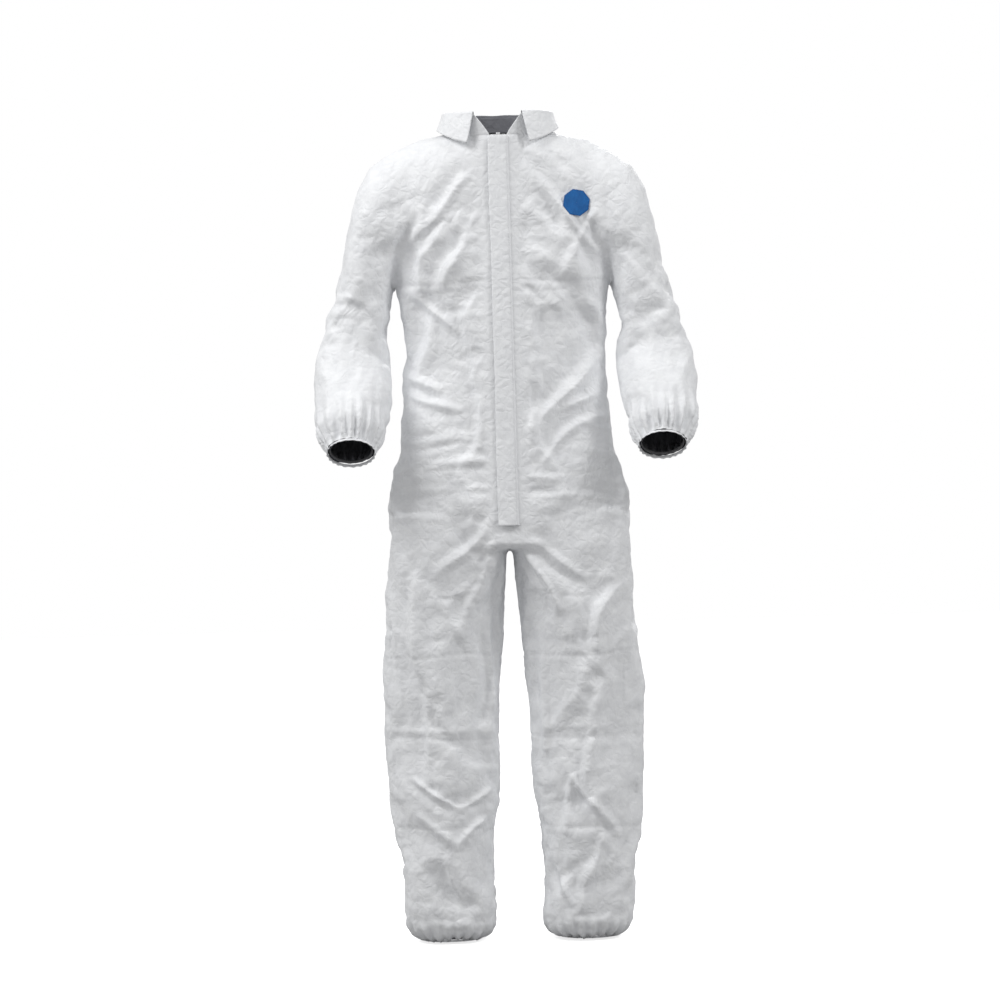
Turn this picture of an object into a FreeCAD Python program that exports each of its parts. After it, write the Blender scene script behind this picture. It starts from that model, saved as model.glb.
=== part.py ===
import FreeCAD, Part

# Disposable protective coverall of flash-spun white cloth, as it hangs on a wearer.
# Millimetres, +Z up, front towards -Y, the wearer's left side at +X.
# Heights below are measured up from the leg hems. Every piece is lowered by NECK_HEIGHT
# when it is saved, so the origin is the middle of the neck opening.
# The cloth is 0.15 mm thick. It stands here as a wall of CLOTH millimetres.
import math
import os
from FreeCAD import Placement, Rotation, Vector

# Cloth layers, as insets from the outer surface of the garment
CLOTH = 1.6
SEAM_OUTER = 1.8
SEAM_INNER = 2.8
BAND_OUTER = 3.0
BAND_INNER = 4.0
BADGE_LIFT = 0.3
BADGE_THICKNESS = 0.5
SEAM_WIDTH = 8.0
PANEL_GAP = 0.2

# Main heights
NECK_HEIGHT = 1560.0
CROTCH_HEIGHT = 753.0
ARMPIT_HEIGHT = 1288.0
SHOULDER_HEIGHT = 1520.0
WAIST_HEIGHT = 1100.0

# The centre front is a straight line, so that the zipper can run in it
FRONT_TOP_HEIGHT = 1552.0
FRONT_AT_CROTCH = 123.0
FRONT_AT_TOP = 84.0
FRONT_RISE = FRONT_TOP_HEIGHT - CROTCH_HEIGHT
FRONT_LEAN = math.degrees(math.atan2(FRONT_AT_CROTCH - FRONT_AT_TOP, FRONT_RISE))

# Body: height, half width, depth behind the side seam, squareness
BODY = [
    (CROTCH_HEIGHT, 224.0, 118.0, 4.0),
    (900.0, 221.0, 124.0, 3.2),
    (1050.0, 207.0, 106.0, 2.6),
    (WAIST_HEIGHT, 196.0, 98.0, 2.6),
    (1180.0, 194.0, 100.0, 2.6),
    (ARMPIT_HEIGHT, 205.0, 108.0, 3.6),
    (1400.0, 206.0, 112.0, 4.2),
    (1480.0, 206.0, 106.0, 4.4),
    (SHOULDER_HEIGHT, 206.0, 92.0, 4.0),
]
# Shoulders above the body: height, half width, front depth, back depth, squareness
YOKE = [
    (1540.0, 190.0, 84.6, 80.0, 3.2),
    (1556.0, 140.0, 83.8, 72.0, 2.6),
    (1568.0, 100.0, 70.0, 64.0, 2.4),
]
# Left leg: height, inner x, outer x, front depth, back depth, squareness
LEG = [
    (CROTCH_HEIGHT - 0.5, 1.5, 224.0, 123.0, 118.0, 2.8),
    (700.0, 7.0, 226.0, 117.0, 114.0, 2.7),
    (580.0, 17.0, 243.0, 105.0, 108.0, 2.6),
    (467.0, 26.0, 244.0, 98.0, 101.0, 2.6),
    (275.0, 34.0, 236.0, 90.0, 97.0, 2.6),
    (198.0, 46.0, 232.0, 88.0, 96.0, 2.8),
    (121.0, 49.0, 222.0, 86.0, 92.0, 3.0),
    (40.0, 48.0, 221.0, 84.0, 90.0, 3.4),
    (3.0, 58.0, 211.0, 74.0, 80.0, 3.0),
]
# Left sleeve: outer x, outer height, inner x, inner height, middle y, half depth, forward tilt
ARMHOLE_X = 208.0
ARMHOLE_CUT_X = 185.0
ARMHOLE_CUT_DEPTH = 58.0
ARMHOLE_CUT_MARGIN = 4.0
SHOULDER_SEAM_INNER_X = 60.0
SHOULDER_SEAM_OUTER_X = 203.0
SHOULDER_SEAM_LIFT = 6.0
SIDE_SEAM_INNER_X = 100.0
HEM_SEAM_CLEAR = 6.0
ROUND_OUTLINE = 2.2
FOREARM_TILT = 33.0
SLEEVE = [
    (ARMHOLE_X, SHOULDER_HEIGHT, ARMHOLE_X, ARMPIT_HEIGHT, 0.0, 72.0, 0.0),
    (262.0, 1492.0, 211.0, 1272.0, -2.0, 78.0, 0.0),
    (290.0, 1410.0, 214.0, 1250.0, -4.0, 78.0, 0.0),
    (313.0, 1311.0, 222.0, 1215.0, -8.0, 75.0, 0.0),
    (335.0, 1234.0, 229.0, 1175.0, -14.0, 73.0, 4.0),
    (353.0, 1150.0, 231.0, 1120.0, -30.0, 71.0, 14.0),
    (363.0, 1050.0, 232.0, 1045.0, -87.0, 64.0, 28.0),
    (361.0, 985.0, 236.0, 985.0, -127.0, 56.0, FOREARM_TILT),
]
WRIST_CENTRE = Vector(296.0, -150.0, 950.0)
WRIST_AXIS = Vector(0.0, -math.sin(math.radians(FOREARM_TILT)), -math.cos(math.radians(FOREARM_TILT)))
WRIST_RADIUS = 45.0
WRIST_HEM_LENGTH = 8.0
WRIST_HEM_FLARE = 3.0

# Elastic
ELASTIC_WIDTH = 6.0
ELASTIC_THICKNESS = 1.0
ANKLE_CENTRE_X = 134.5
ANKLE_RADIUS = 58.0
ANKLE_HEM_THICKNESS = 2.0
WAIST_ELASTIC_HALF = 150.0
WAIST_ELASTIC_WIDTH = 10.0

# Neck and collar
NECK_MIDDLE_Y = -10.0
STAND_BASE = (97.0, 1561.0, 72.0, 0.16)
STAND_TOP = (103.0, 1593.0, 76.0, 0.06)
LEAF_FOLD = (106.5, 1594.0, 79.5, 0.06)
LEAF_EDGE = (121.0, 1566.5, 92.0, 0.13)
NECK_REACH = 45.0
NOTCH_BELOW = 20.0
NOTCH_ABOVE = 10.0
COLLAR_NOTCH_BASE = 14.0
COLLAR_NOTCH_TOP = 46.0
LEAF_NOTCH_BASE = 60.0

# Zipper, in the frame of the centre front: x, distance outward, distance up the line
ZIP_TOP = 1556.0
ZIP_BOTTOM = 812.0
ZIP_HALF_GAP = 0.5
TAPE_EDGE = 15.0
TAPE_DEPTH = (-2.7, -2.1)
COIL_WIDTH = 2.7
COIL_DEPTH = (-2.1, 0.1)
FRONT_OPENING_HALF = 10.0
SLIDER_LENGTH = 11.0
SLIDER_HALF_WIDTH = 5.0
SLIDER_PLATE = 1.1
SLIDER_CLEAR = 0.4
POST_HALF = 0.25
POST_LENGTH = 2.5
PULL_AXIS_OUT = 3.6
PULL_PIN_RADIUS = 0.6
PULL_EYE_RADIUS = 1.5
PULL_EYE_CLEAR = 0.2
PULL_EYE_HALF = 1.7
PULL_LENGTH = 20.0
PULL_HALF_WIDTH = 3.0
PULL_THICKNESS = 0.9
STOP_LENGTH = 3.0
STOP_OVERHANG = 0.4
STOP_RISE = 0.7
TAPE_TAIL = 12.0
PULL_NECK_LENGTH = 8.0
PULL_GRIP_START = 6.0
LUG_CLEAR = 0.3
LUG_WIDTH = 0.9
LUG_HALF_HEIGHT = 1.2

# Storm flap, hinged on its sewn edge
FLAP_TOP = 1549.0
FLAP_BOTTOM = 800.0
FLAP_STEP = 6.0
FLAP_SEAM_WIDTH = 1.5
FLAP_SEWN_X = 21.0
FLAP_FREE_X = -20.0
FLAP_THICKNESS = 1.2
FLAP_OUT = 6.8
FLAP_BASE = 0.6

# Chest badge, a plain octagon
BADGE_X = 147.0
BADGE_HEIGHT = 1417.0
BADGE_SIDES = 8
BADGE_ACROSS = 49.0

# Size label inside the neck
LABEL_HALF_WIDTH = 22.0
LABEL_LOW = 1512.0
LABEL_HIGH = 1540.0

FAR = 2000.0
END_CLEAR = 6.0
RING_STEPS = 28


def front_depth(height):
    """Depth of the centre front, ahead of the side seams, on its straight line."""
    share = (FRONT_TOP_HEIGHT - height) / FRONT_RISE
    return FRONT_AT_TOP + share * (FRONT_AT_CROTCH - FRONT_AT_TOP)


def outline(centre, across, ahead, behind, squareness):
    """Closed rounded outline. across, ahead and behind are vectors from its centre."""
    points = []
    for step in range(RING_STEPS):
        turn = 2.0 * math.pi * step / RING_STEPS
        side = math.cos(turn)
        deep = math.sin(turn)
        side_share = math.copysign(abs(side) ** (2.0 / squareness), side)
        deep_share = abs(deep) ** (2.0 / squareness)
        reach = behind if deep > 0.0 else ahead
        points.append(centre + across * side_share + reach * deep_share)
    curve = Part.BSplineCurve()
    curve.interpolate(points, True)
    return Part.Wire(curve.toShape())


def shortened(vector, inset):
    return vector * ((vector.Length - inset) / vector.Length)


def body_outlines(inset):
    """Level outlines of the body, from the crotch to the neck."""
    rings = []
    rows = [(h, half, front_depth(h), back, square) for h, half, back, square in BODY]
    for height, half, front, back, square in rows + YOKE:
        rings.append(
            outline(
                Vector(0, 0, height),
                Vector(half - inset, 0, 0),
                Vector(0, inset - front, 0),
                Vector(0, back - inset, 0),
                square,
            )
        )
    return rings


def leg_outlines(inset):
    """Level outlines of the left leg, from the crotch to the hem."""
    rings = []
    for height, inner, outer, front, back, square in LEG:
        rings.append(
            outline(
                Vector((inner + outer) / 2.0, 0, height),
                Vector((outer - inner) / 2.0 - inset, 0, 0),
                Vector(0, inset - front, 0),
                Vector(0, back - inset, 0),
                square,
            )
        )
    return rings


def wrist_outline(radius, along):
    """Circle round the wrist, at a distance along the arm from the cuff's elastic."""
    side = Vector(radius, 0, 0)
    deep = WRIST_AXIS.cross(Vector(1, 0, 0)) * -radius
    return outline(WRIST_CENTRE + WRIST_AXIS * along, side, deep * -1.0, deep, 2.0)


def sleeve_outlines(inset):
    """Outlines of the left sleeve, from the armhole to the wrist."""
    rings = []
    for outer_x, outer_h, inner_x, inner_h, middle_y, half_depth, tilt in SLEEVE:
        outer = Vector(outer_x, middle_y, outer_h)
        inner = Vector(inner_x, middle_y, inner_h)
        angle = math.radians(tilt)
        deep = Vector(0, math.cos(angle), -math.sin(angle)) * (half_depth - inset)
        across = shortened((outer - inner) * 0.5, inset)
        rings.append(outline((outer + inner) * 0.5, across, deep * -1.0, deep, ROUND_OUTLINE))
    rings.append(wrist_outline(WRIST_RADIUS - inset, 0.0))
    return rings


def loft(rings):
    return Part.makeLoft(rings, True, True)


def chained(rings):
    """Solid through tilted outlines, one straight segment at a time."""
    parts = [Part.makeLoft(list(pair), True, True) for pair in zip(rings, rings[1:])]
    return parts[0].multiFuse(parts[1:])


def moved(shape, shift):
    copy = shape.copy()
    copy.translate(shift)
    return copy


def layer(outlines, outer_inset, inner_inset, first_shift, last_shift, join=loft):
    """Open-ended tube between two insets of one set of outlines."""
    outer = join(outlines(outer_inset))
    rings = outlines(inner_inset)
    rings = [moved(rings[0], first_shift)] + rings + [moved(rings[-1], last_shift)]
    return outer.cut(join(rings))


def body_layer(outer_inset, inner_inset):
    down = Vector(0, 0, -END_CLEAR)
    up = Vector(0, 0, END_CLEAR)
    return layer(body_outlines, outer_inset, inner_inset, down, up)


def leg_layer(outer_inset, inner_inset):
    up = Vector(0, 0, END_CLEAR)
    down = Vector(0, 0, -END_CLEAR)
    return layer(leg_outlines, outer_inset, inner_inset, up, down)


def sleeve_layer(outer_inset, inner_inset):
    inward = Vector(-END_CLEAR, 0, 0)
    onward = WRIST_AXIS * END_CLEAR
    return layer(sleeve_outlines, outer_inset, inner_inset, inward, onward, chained)


def block(x_low, x_high, y_low, y_high, z_low, z_high):
    size = (x_high - x_low, y_high - y_low, z_high - z_low)
    return Part.makeBox(*size, Vector(x_low, y_low, z_low))


def mirrored(shape):
    return shape.mirror(Vector(0, 0, 0), Vector(1, 0, 0))


def prism_along_y(points, y_low, y_high):
    """Prism over an outline in X and height."""
    corners = [Vector(x, y_low, z) for x, z in points]
    face = Part.Face(Part.makePolygon(corners + corners[:1]))
    return face.extrude(Vector(0, y_high - y_low, 0))


# --- body, legs and sleeves ---------------------------------------------------------------


def armhole_cut():
    """The space that the left armhole leaves open in the side of the body."""
    middle = (SHOULDER_HEIGHT + ARMPIT_HEIGHT) / 2.0
    half = (SHOULDER_HEIGHT - ARMPIT_HEIGHT) / 2.0
    deep = Vector(0, ARMHOLE_CUT_DEPTH, 0)
    start = Vector(ARMHOLE_CUT_X, 0, middle)
    ring = outline(start, Vector(0, 0, half - ARMHOLE_CUT_MARGIN), deep * -1.0, deep, ROUND_OUTLINE)
    return Part.Face(ring).extrude(Vector(ARMHOLE_X - ARMHOLE_CUT_X, 0, 0))


def collar_outline(row, inset, lift=0.0):
    """Outline round the neck that rises towards the back. row: half width, height, depth, rise."""
    half, height, depth, rise = row
    back = Vector(0, depth - inset, (depth - inset) * rise)
    centre = Vector(0, NECK_MIDDLE_Y, height + lift)
    return outline(centre, Vector(half - inset, 0, 0), back * -1.0, back, ROUND_OUTLINE)


def neck_column(outset):
    """The space inside the neck seam, through the top of the body."""
    low = collar_outline(STAND_BASE, -outset, -NECK_REACH)
    base = collar_outline(STAND_BASE, -outset)
    high = collar_outline(STAND_TOP, -outset)
    return loft([low, base, high])


def body_panels():
    cloth = body_layer(0.0, CLOTH)
    cloth = cloth.cut(armhole_cut()).cut(mirrored(armhole_cut())).cut(neck_column(PANEL_GAP))
    gap = PANEL_GAP / 2.0
    front = cloth.common(block(FRONT_OPENING_HALF, FAR, -FAR, -gap, 0, FAR))
    back = cloth.common(block(gap, FAR, gap, FAR, 0, FAR))
    return {
        "left_front_body": front,
        "right_front_body": mirrored(front),
        "left_back_body": back,
        "right_back_body": mirrored(back),
    }


def leg_panels():
    cloth = leg_layer(0.0, CLOTH)
    gap = PANEL_GAP / 2.0
    front = cloth.common(block(-FAR, FAR, -FAR, -gap, -1, FAR))
    back = cloth.common(block(-FAR, FAR, gap, FAR, -1, FAR))
    return {
        "left_front_leg": front,
        "right_front_leg": mirrored(front),
        "left_back_leg": back,
        "right_back_leg": mirrored(back),
    }


def body_seams():
    """Sewn seam allowances inside the body."""
    lining = body_layer(SEAM_OUTER, SEAM_INNER).cut(neck_column(PANEL_GAP))
    half = SEAM_WIDTH / 2.0
    side_top = ARMPIT_HEIGHT - ARMHOLE_CUT_MARGIN
    side = lining.common(block(SIDE_SEAM_INNER_X, FAR, -half, half, 0, side_top))
    low = SHOULDER_HEIGHT + SHOULDER_SEAM_LIFT
    over_shoulder = block(SHOULDER_SEAM_INNER_X, SHOULDER_SEAM_OUTER_X, -half, half, low, FAR)
    shoulder = lining.common(over_shoulder)
    shoulder = shoulder.cut(armhole_cut())
    centre_back = lining.common(block(-half, half, 0, FAR, 0, FAR))
    return {
        "left_side_seam": side,
        "right_side_seam": mirrored(side),
        "left_shoulder_seam": shoulder,
        "right_shoulder_seam": mirrored(shoulder),
        "centre_back_seam": centre_back,
    }


def leg_seams():
    """Sewn seam allowances inside the legs."""
    lining = leg_layer(SEAM_OUTER, SEAM_INNER)
    half = SEAM_WIDTH / 2.0
    outer = lining.common(block(ANKLE_CENTRE_X, FAR, -half, half, HEM_SEAM_CLEAR, FAR))
    inner = lining.common(block(-FAR, ANKLE_CENTRE_X, -half, half, HEM_SEAM_CLEAR, FAR))
    return {
        "left_outer_leg_seam": outer,
        "right_outer_leg_seam": mirrored(outer),
        "left_inner_leg_seam": inner,
        "right_inner_leg_seam": mirrored(inner),
    }


def sleeve_pieces():
    """Sleeves with the seams that close them and join them to the armholes."""
    sleeve = sleeve_layer(0.0, CLOTH)
    lining = sleeve_layer(SEAM_OUTER, SEAM_INNER)
    half = SEAM_WIDTH / 2.0
    armhole_end = ARMHOLE_X + SEAM_WIDTH
    armhole = lining.common(block(0, armhole_end, -FAR, FAR, 0, FAR))
    seam_end = WRIST_CENTRE - WRIST_AXIS * (ELASTIC_WIDTH + SEAM_OUTER)
    middle = [(row[4], row[3]) for row in SLEEVE] + [(seam_end.y, seam_end.z)]
    ahead = [Vector(0, y - half, z) for y, z in middle]
    behind = [Vector(0, y + half, z) for y, z in reversed(middle)]
    strip = Part.Face(Part.makePolygon(ahead + behind + ahead[:1]))
    under = strip.extrude(Vector(WRIST_CENTRE.x - WRIST_RADIUS / 2.0, 0, 0))
    underarm = lining.common(under).cut(block(0, armhole_end + PANEL_GAP, -FAR, FAR, 0, FAR))
    return {
        "left_sleeve": sleeve,
        "right_sleeve": mirrored(sleeve),
        "left_armhole_seam": armhole,
        "right_armhole_seam": mirrored(armhole),
        "left_underarm_seam": underarm,
        "right_underarm_seam": mirrored(underarm),
    }


# --- cuffs, hems and elastic --------------------------------------------------------------


def wrist_pieces():
    """Elastic inside each cuff, and the frilled hem beyond it."""
    outer = WRIST_RADIUS - CLOTH - PANEL_GAP
    inner = outer - ELASTIC_THICKNESS
    start = WRIST_CENTRE - WRIST_AXIS * ELASTIC_WIDTH
    elastic = Part.makeCylinder(outer, ELASTIC_WIDTH, start, WRIST_AXIS)
    elastic = elastic.cut(Part.makeCylinder(inner, ELASTIC_WIDTH, start, WRIST_AXIS))
    first = PANEL_GAP
    last = first + WRIST_HEM_LENGTH
    flared = WRIST_RADIUS + WRIST_HEM_FLARE
    hem = loft([wrist_outline(WRIST_RADIUS, first), wrist_outline(flared, last)])
    hem = hem.cut(
        loft(
            [
                wrist_outline(WRIST_RADIUS - CLOTH, first - END_CLEAR),
                wrist_outline(WRIST_RADIUS - CLOTH, first),
                wrist_outline(flared - CLOTH, last),
                wrist_outline(flared, last + END_CLEAR),
            ]
        )
    )
    return {
        "left_wrist_elastic": elastic,
        "right_wrist_elastic": mirrored(elastic),
        "left_wrist_hem": hem,
        "right_wrist_hem": mirrored(hem),
    }


def ankle_pieces():
    """Hem turned under each leg, and the elastic that draws it in."""
    foot = leg_outlines(0.0)[-1]
    plate = Part.Face(foot).extrude(Vector(0, 0, -ANKLE_HEM_THICKNESS))
    plate = moved(plate, Vector(0, 0, -PANEL_GAP))
    base = Vector(ANKLE_CENTRE_X, 0, -FAR)
    plate = plate.cut(Part.makeCylinder(ANKLE_RADIUS, 2.0 * FAR, base))
    bottom = Vector(ANKLE_CENTRE_X, 0, LEG[-1][0])
    elastic = Part.makeCylinder(ANKLE_RADIUS + ELASTIC_THICKNESS, ELASTIC_WIDTH, bottom)
    elastic = elastic.cut(Part.makeCylinder(ANKLE_RADIUS, ELASTIC_WIDTH, bottom))
    return {
        "left_ankle_hem": plate,
        "right_ankle_hem": mirrored(plate),
        "left_ankle_elastic": elastic,
        "right_ankle_elastic": mirrored(elastic),
    }


def waist_elastic():
    """Flat elastic sewn inside the back at the waist."""
    half = WAIST_ELASTIC_WIDTH / 2.0
    low = WAIST_HEIGHT - half
    high = WAIST_HEIGHT + half
    band = block(-WAIST_ELASTIC_HALF, WAIST_ELASTIC_HALF, 0, FAR, low, high)
    return {"back_waist_elastic": body_layer(BAND_OUTER, BAND_INNER).common(band)}


# --- collar --------------------------------------------------------------------------------


def collar_pieces():
    """Stand round the neck, and the leaf that folds down outside it."""
    stand = loft([collar_outline(STAND_BASE, 0.0), collar_outline(STAND_TOP, 0.0)])
    hollow = [
        collar_outline(STAND_BASE, CLOTH, -END_CLEAR),
        collar_outline(STAND_BASE, CLOTH),
        collar_outline(STAND_TOP, CLOTH),
        collar_outline(STAND_TOP, CLOTH, END_CLEAR),
    ]
    stand = stand.cut(loft(hollow))
    notch = [
        (-COLLAR_NOTCH_BASE, STAND_BASE[1] - NOTCH_BELOW),
        (COLLAR_NOTCH_BASE, STAND_BASE[1] - NOTCH_BELOW),
        (COLLAR_NOTCH_TOP, STAND_TOP[1] + NOTCH_ABOVE),
        (-COLLAR_NOTCH_TOP, STAND_TOP[1] + NOTCH_ABOVE),
    ]
    stand = stand.cut(prism_along_y(notch, -FAR, 0))
    leaf = loft([collar_outline(LEAF_EDGE, 0.0), collar_outline(LEAF_FOLD, 0.0)])
    hollow = [
        collar_outline(LEAF_EDGE, CLOTH, -END_CLEAR),
        collar_outline(LEAF_EDGE, CLOTH),
        collar_outline(LEAF_FOLD, CLOTH),
        collar_outline(LEAF_FOLD, CLOTH, END_CLEAR),
    ]
    leaf = leaf.cut(loft(hollow))
    notch = [
        (-LEAF_NOTCH_BASE, LEAF_EDGE[1] - NOTCH_BELOW),
        (LEAF_NOTCH_BASE, LEAF_EDGE[1] - NOTCH_BELOW),
        (COLLAR_NOTCH_TOP, LEAF_FOLD[1] + NOTCH_ABOVE),
        (-COLLAR_NOTCH_TOP, LEAF_FOLD[1] + NOTCH_ABOVE),
    ]
    leaf = leaf.cut(prism_along_y(notch, -FAR, 0))
    return {"collar_stand": stand, "collar_leaf": leaf}


# --- zipper and flap, in the frame of the centre front -----------------------------------------


def up_front(height):
    """Distance up the centre front line from the crotch height."""
    return (height - CROTCH_HEIGHT) / math.cos(math.radians(FRONT_LEAN))


def on_front(shape):
    """Lays a shape built upright, with +Z along the line and -Y outward, on the centre front."""
    base = Vector(0, -FRONT_AT_CROTCH, CROTCH_HEIGHT)
    copy = shape.copy()
    copy.Placement = Placement(base, Rotation(Vector(1, 0, 0), -FRONT_LEAN)).multiply(copy.Placement)
    return copy


def bar(x_low, x_high, out_low, out_high, low, high):
    return block(x_low, x_high, -out_high, -out_low, low, high)


def zipper_chain():
    """Tapes, coils and stops of the zipper."""
    low = up_front(ZIP_BOTTOM)
    high = up_front(ZIP_TOP)
    coil_edge = ZIP_HALF_GAP + COIL_WIDTH
    tape = bar(ZIP_HALF_GAP, TAPE_EDGE, *TAPE_DEPTH, low - TAPE_TAIL, high)
    coil = bar(ZIP_HALF_GAP, coil_edge, *COIL_DEPTH, low, high - STOP_LENGTH)
    edge = coil_edge + STOP_OVERHANG
    deep = (COIL_DEPTH[0], STOP_RISE)
    top_stop = bar(ZIP_HALF_GAP, edge, *deep, high - STOP_LENGTH, high)
    bottom_stop = bar(-edge, edge, *deep, low - STOP_LENGTH, low)
    return {
        "left_zipper_tape": on_front(tape),
        "right_zipper_tape": on_front(mirrored(tape)),
        "left_zipper_coil": on_front(coil),
        "right_zipper_coil": on_front(mirrored(coil)),
        "zipper_top_stops": on_front(Part.makeCompound([top_stop, mirrored(top_stop)])),
        "zipper_bottom_stop": on_front(bottom_stop),
    }


def zipper_slider():
    """Slider at the top of its travel, round both coils, with the pull tab hanging from it."""
    high = up_front(ZIP_TOP) - STOP_LENGTH - SLIDER_CLEAR
    low = high - SLIDER_LENGTH
    outer = COIL_DEPTH[1] + SLIDER_CLEAR
    inner = TAPE_DEPTH[0] - SLIDER_CLEAR
    half = SLIDER_HALF_WIDTH
    plates = bar(-half, half, outer, outer + SLIDER_PLATE, low, high)
    plates = plates.fuse(bar(-half, half, inner - SLIDER_PLATE, inner, low, high))
    plates = plates.fuse(bar(-POST_HALF, POST_HALF, inner, outer, high - POST_LENGTH, high))
    pin_height = (low + high) / 2.0
    lug_inner = PULL_EYE_HALF + LUG_CLEAR
    lug_outer = lug_inner + LUG_WIDTH
    lug_top = PULL_AXIS_OUT + PULL_PIN_RADIUS + LUG_CLEAR
    lug_span = (pin_height - LUG_HALF_HEIGHT, pin_height + LUG_HALF_HEIGHT)
    lug = bar(lug_inner, lug_outer, outer + SLIDER_PLATE, lug_top, *lug_span)
    plates = plates.fuse(lug).fuse(mirrored(lug))
    pin_base = Vector(-lug_outer, -PULL_AXIS_OUT, pin_height)
    pin = Part.makeCylinder(PULL_PIN_RADIUS, 2.0 * lug_outer, pin_base, Vector(1, 0, 0))
    slider = plates.fuse(pin).removeSplitter()
    eye_base = Vector(-PULL_EYE_HALF, -PULL_AXIS_OUT, pin_height)
    eye = Part.makeCylinder(PULL_EYE_RADIUS, 2.0 * PULL_EYE_HALF, eye_base, Vector(1, 0, 0))
    out = (PULL_AXIS_OUT - PULL_THICKNESS / 2.0, PULL_AXIS_OUT + PULL_THICKNESS / 2.0)
    neck_span = (pin_height - PULL_NECK_LENGTH, pin_height)
    neck = bar(-PULL_EYE_HALF, PULL_EYE_HALF, *out, *neck_span)
    grip_span = (pin_height - PULL_LENGTH, pin_height - PULL_GRIP_START)
    grip = bar(-PULL_HALF_WIDTH, PULL_HALF_WIDTH, *out, *grip_span)
    pull = eye.fuse(neck).fuse(grip)
    bore = PULL_PIN_RADIUS + PULL_EYE_CLEAR
    pull = pull.cut(Part.makeCylinder(bore, 2.0 * PULL_EYE_HALF, eye_base, Vector(1, 0, 0)))
    return {"zipper_slider": on_front(slider), "zipper_pull_tab": on_front(pull)}


def storm_flap():
    """Two-ply strip over the zipper, sewn along its left edge and free along the other."""
    outer = FLAP_OUT + FLAP_THICKNESS
    section = [
        (FLAP_SEWN_X, FLAP_BASE),
        (FLAP_SEWN_X, FLAP_BASE + FLAP_THICKNESS),
        (FLAP_SEWN_X - FLAP_STEP, outer),
        (FLAP_FREE_X, outer),
        (FLAP_FREE_X, FLAP_OUT),
        (FLAP_SEWN_X - FLAP_STEP - FLAP_THICKNESS, FLAP_OUT),
        (FLAP_SEWN_X - FLAP_SEAM_WIDTH, FLAP_BASE),
    ]
    corners = [Vector(x, -out, up_front(FLAP_BOTTOM)) for x, out in section]
    face = Part.Face(Part.makePolygon(corners + corners[:1]))
    strip = face.extrude(Vector(0, 0, up_front(FLAP_TOP) - up_front(FLAP_BOTTOM)))
    return {"storm_flap": on_front(strip)}


# --- badge and label -----------------------------------------------------------------------


def badge_and_label():
    """Octagon on the left chest, and the size label inside the back of the neck."""
    corners = []
    corner_radius = BADGE_ACROSS / 2.0 / math.cos(math.pi / BADGE_SIDES)
    for step in range(BADGE_SIDES):
        turn = 2.0 * math.pi / BADGE_SIDES * (step + 0.5)
        x = BADGE_X + corner_radius * math.cos(turn)
        corners.append((x, BADGE_HEIGHT + corner_radius * math.sin(turn)))
    skin = body_layer(-BADGE_LIFT - BADGE_THICKNESS, -BADGE_LIFT)
    badge = skin.common(prism_along_y(corners, -FAR, 0))
    lining = body_layer(BAND_OUTER, BAND_OUTER + BADGE_THICKNESS)
    patch = block(-LABEL_HALF_WIDTH, LABEL_HALF_WIDTH, 0, FAR, LABEL_LOW, LABEL_HIGH)
    return {"chest_badge": badge, "neck_size_label": lining.common(patch)}


def save(pieces):
    for name, shape in pieces.items():
        lowered = moved(shape, Vector(0, 0, -NECK_HEIGHT))
        solids = lowered.Solids
        whole = solids[0] if len(solids) == 1 else Part.makeCompound(solids)
        whole.exportStep(f"parts/{name}.step")


os.makedirs("parts", exist_ok=True)
save(body_panels())
save(body_seams())
save(leg_panels())
save(leg_seams())
save(sleeve_pieces())
save(wrist_pieces())
save(ankle_pieces())
save(waist_elastic())
save(collar_pieces())
save(zipper_chain())
save(zipper_slider())
save(storm_flap())
save(badge_and_label())
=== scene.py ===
import math
from functools import partial

import bmesh
import bpy
import numpy as np
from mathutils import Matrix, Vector


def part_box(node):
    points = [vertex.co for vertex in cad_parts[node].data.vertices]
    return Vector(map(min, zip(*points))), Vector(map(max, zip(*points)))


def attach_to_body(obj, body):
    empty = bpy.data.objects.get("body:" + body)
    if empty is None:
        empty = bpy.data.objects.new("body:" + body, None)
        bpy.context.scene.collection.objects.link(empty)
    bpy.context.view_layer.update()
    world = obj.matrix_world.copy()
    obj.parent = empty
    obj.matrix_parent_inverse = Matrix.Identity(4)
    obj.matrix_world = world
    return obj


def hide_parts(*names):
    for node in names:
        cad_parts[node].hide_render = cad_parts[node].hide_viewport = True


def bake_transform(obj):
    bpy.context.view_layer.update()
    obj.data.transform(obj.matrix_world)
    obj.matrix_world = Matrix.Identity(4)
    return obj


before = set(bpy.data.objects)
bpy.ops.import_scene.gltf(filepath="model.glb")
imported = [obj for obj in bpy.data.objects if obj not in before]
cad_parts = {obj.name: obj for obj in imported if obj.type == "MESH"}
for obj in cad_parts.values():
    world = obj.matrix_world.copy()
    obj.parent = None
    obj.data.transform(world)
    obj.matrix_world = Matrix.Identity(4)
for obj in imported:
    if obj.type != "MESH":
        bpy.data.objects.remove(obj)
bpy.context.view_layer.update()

NECK = 1.560
CROTCH = 0.753
ARMPIT = 1.288
ARMHOLE_X = 0.207
FRONT_TOP = 1.552
FRONT_AT_TOP = 0.084
FRONT_AT_CROTCH = 0.123
ZIP_LOW = 0.812
ZIP_TOP = 1.553
FLAP_LOW = 0.800
FLAP_TOP = 1.549
FLAP_HALF = 0.0205
WRIST = Vector((0.296, -0.150, 0.950))
WRIST_TILT = math.radians(33.0)
WRIST_AXIS = Vector((0.0, -math.sin(WRIST_TILT), -math.cos(WRIST_TILT)))
WRIST_RADIUS = 0.045
ANKLE_X = 0.1345
ANKLE_RADIUS = 0.058
NECK_OVAL = (0.097, 1.561, 0.072, 0.16)
NECK_Y = -0.010
CLOTH = 0.0004
ZIP_EDGE = 0.005
BADGE_TURN = math.radians(-9.0)
FACING_LIFT = 0.0034
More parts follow.
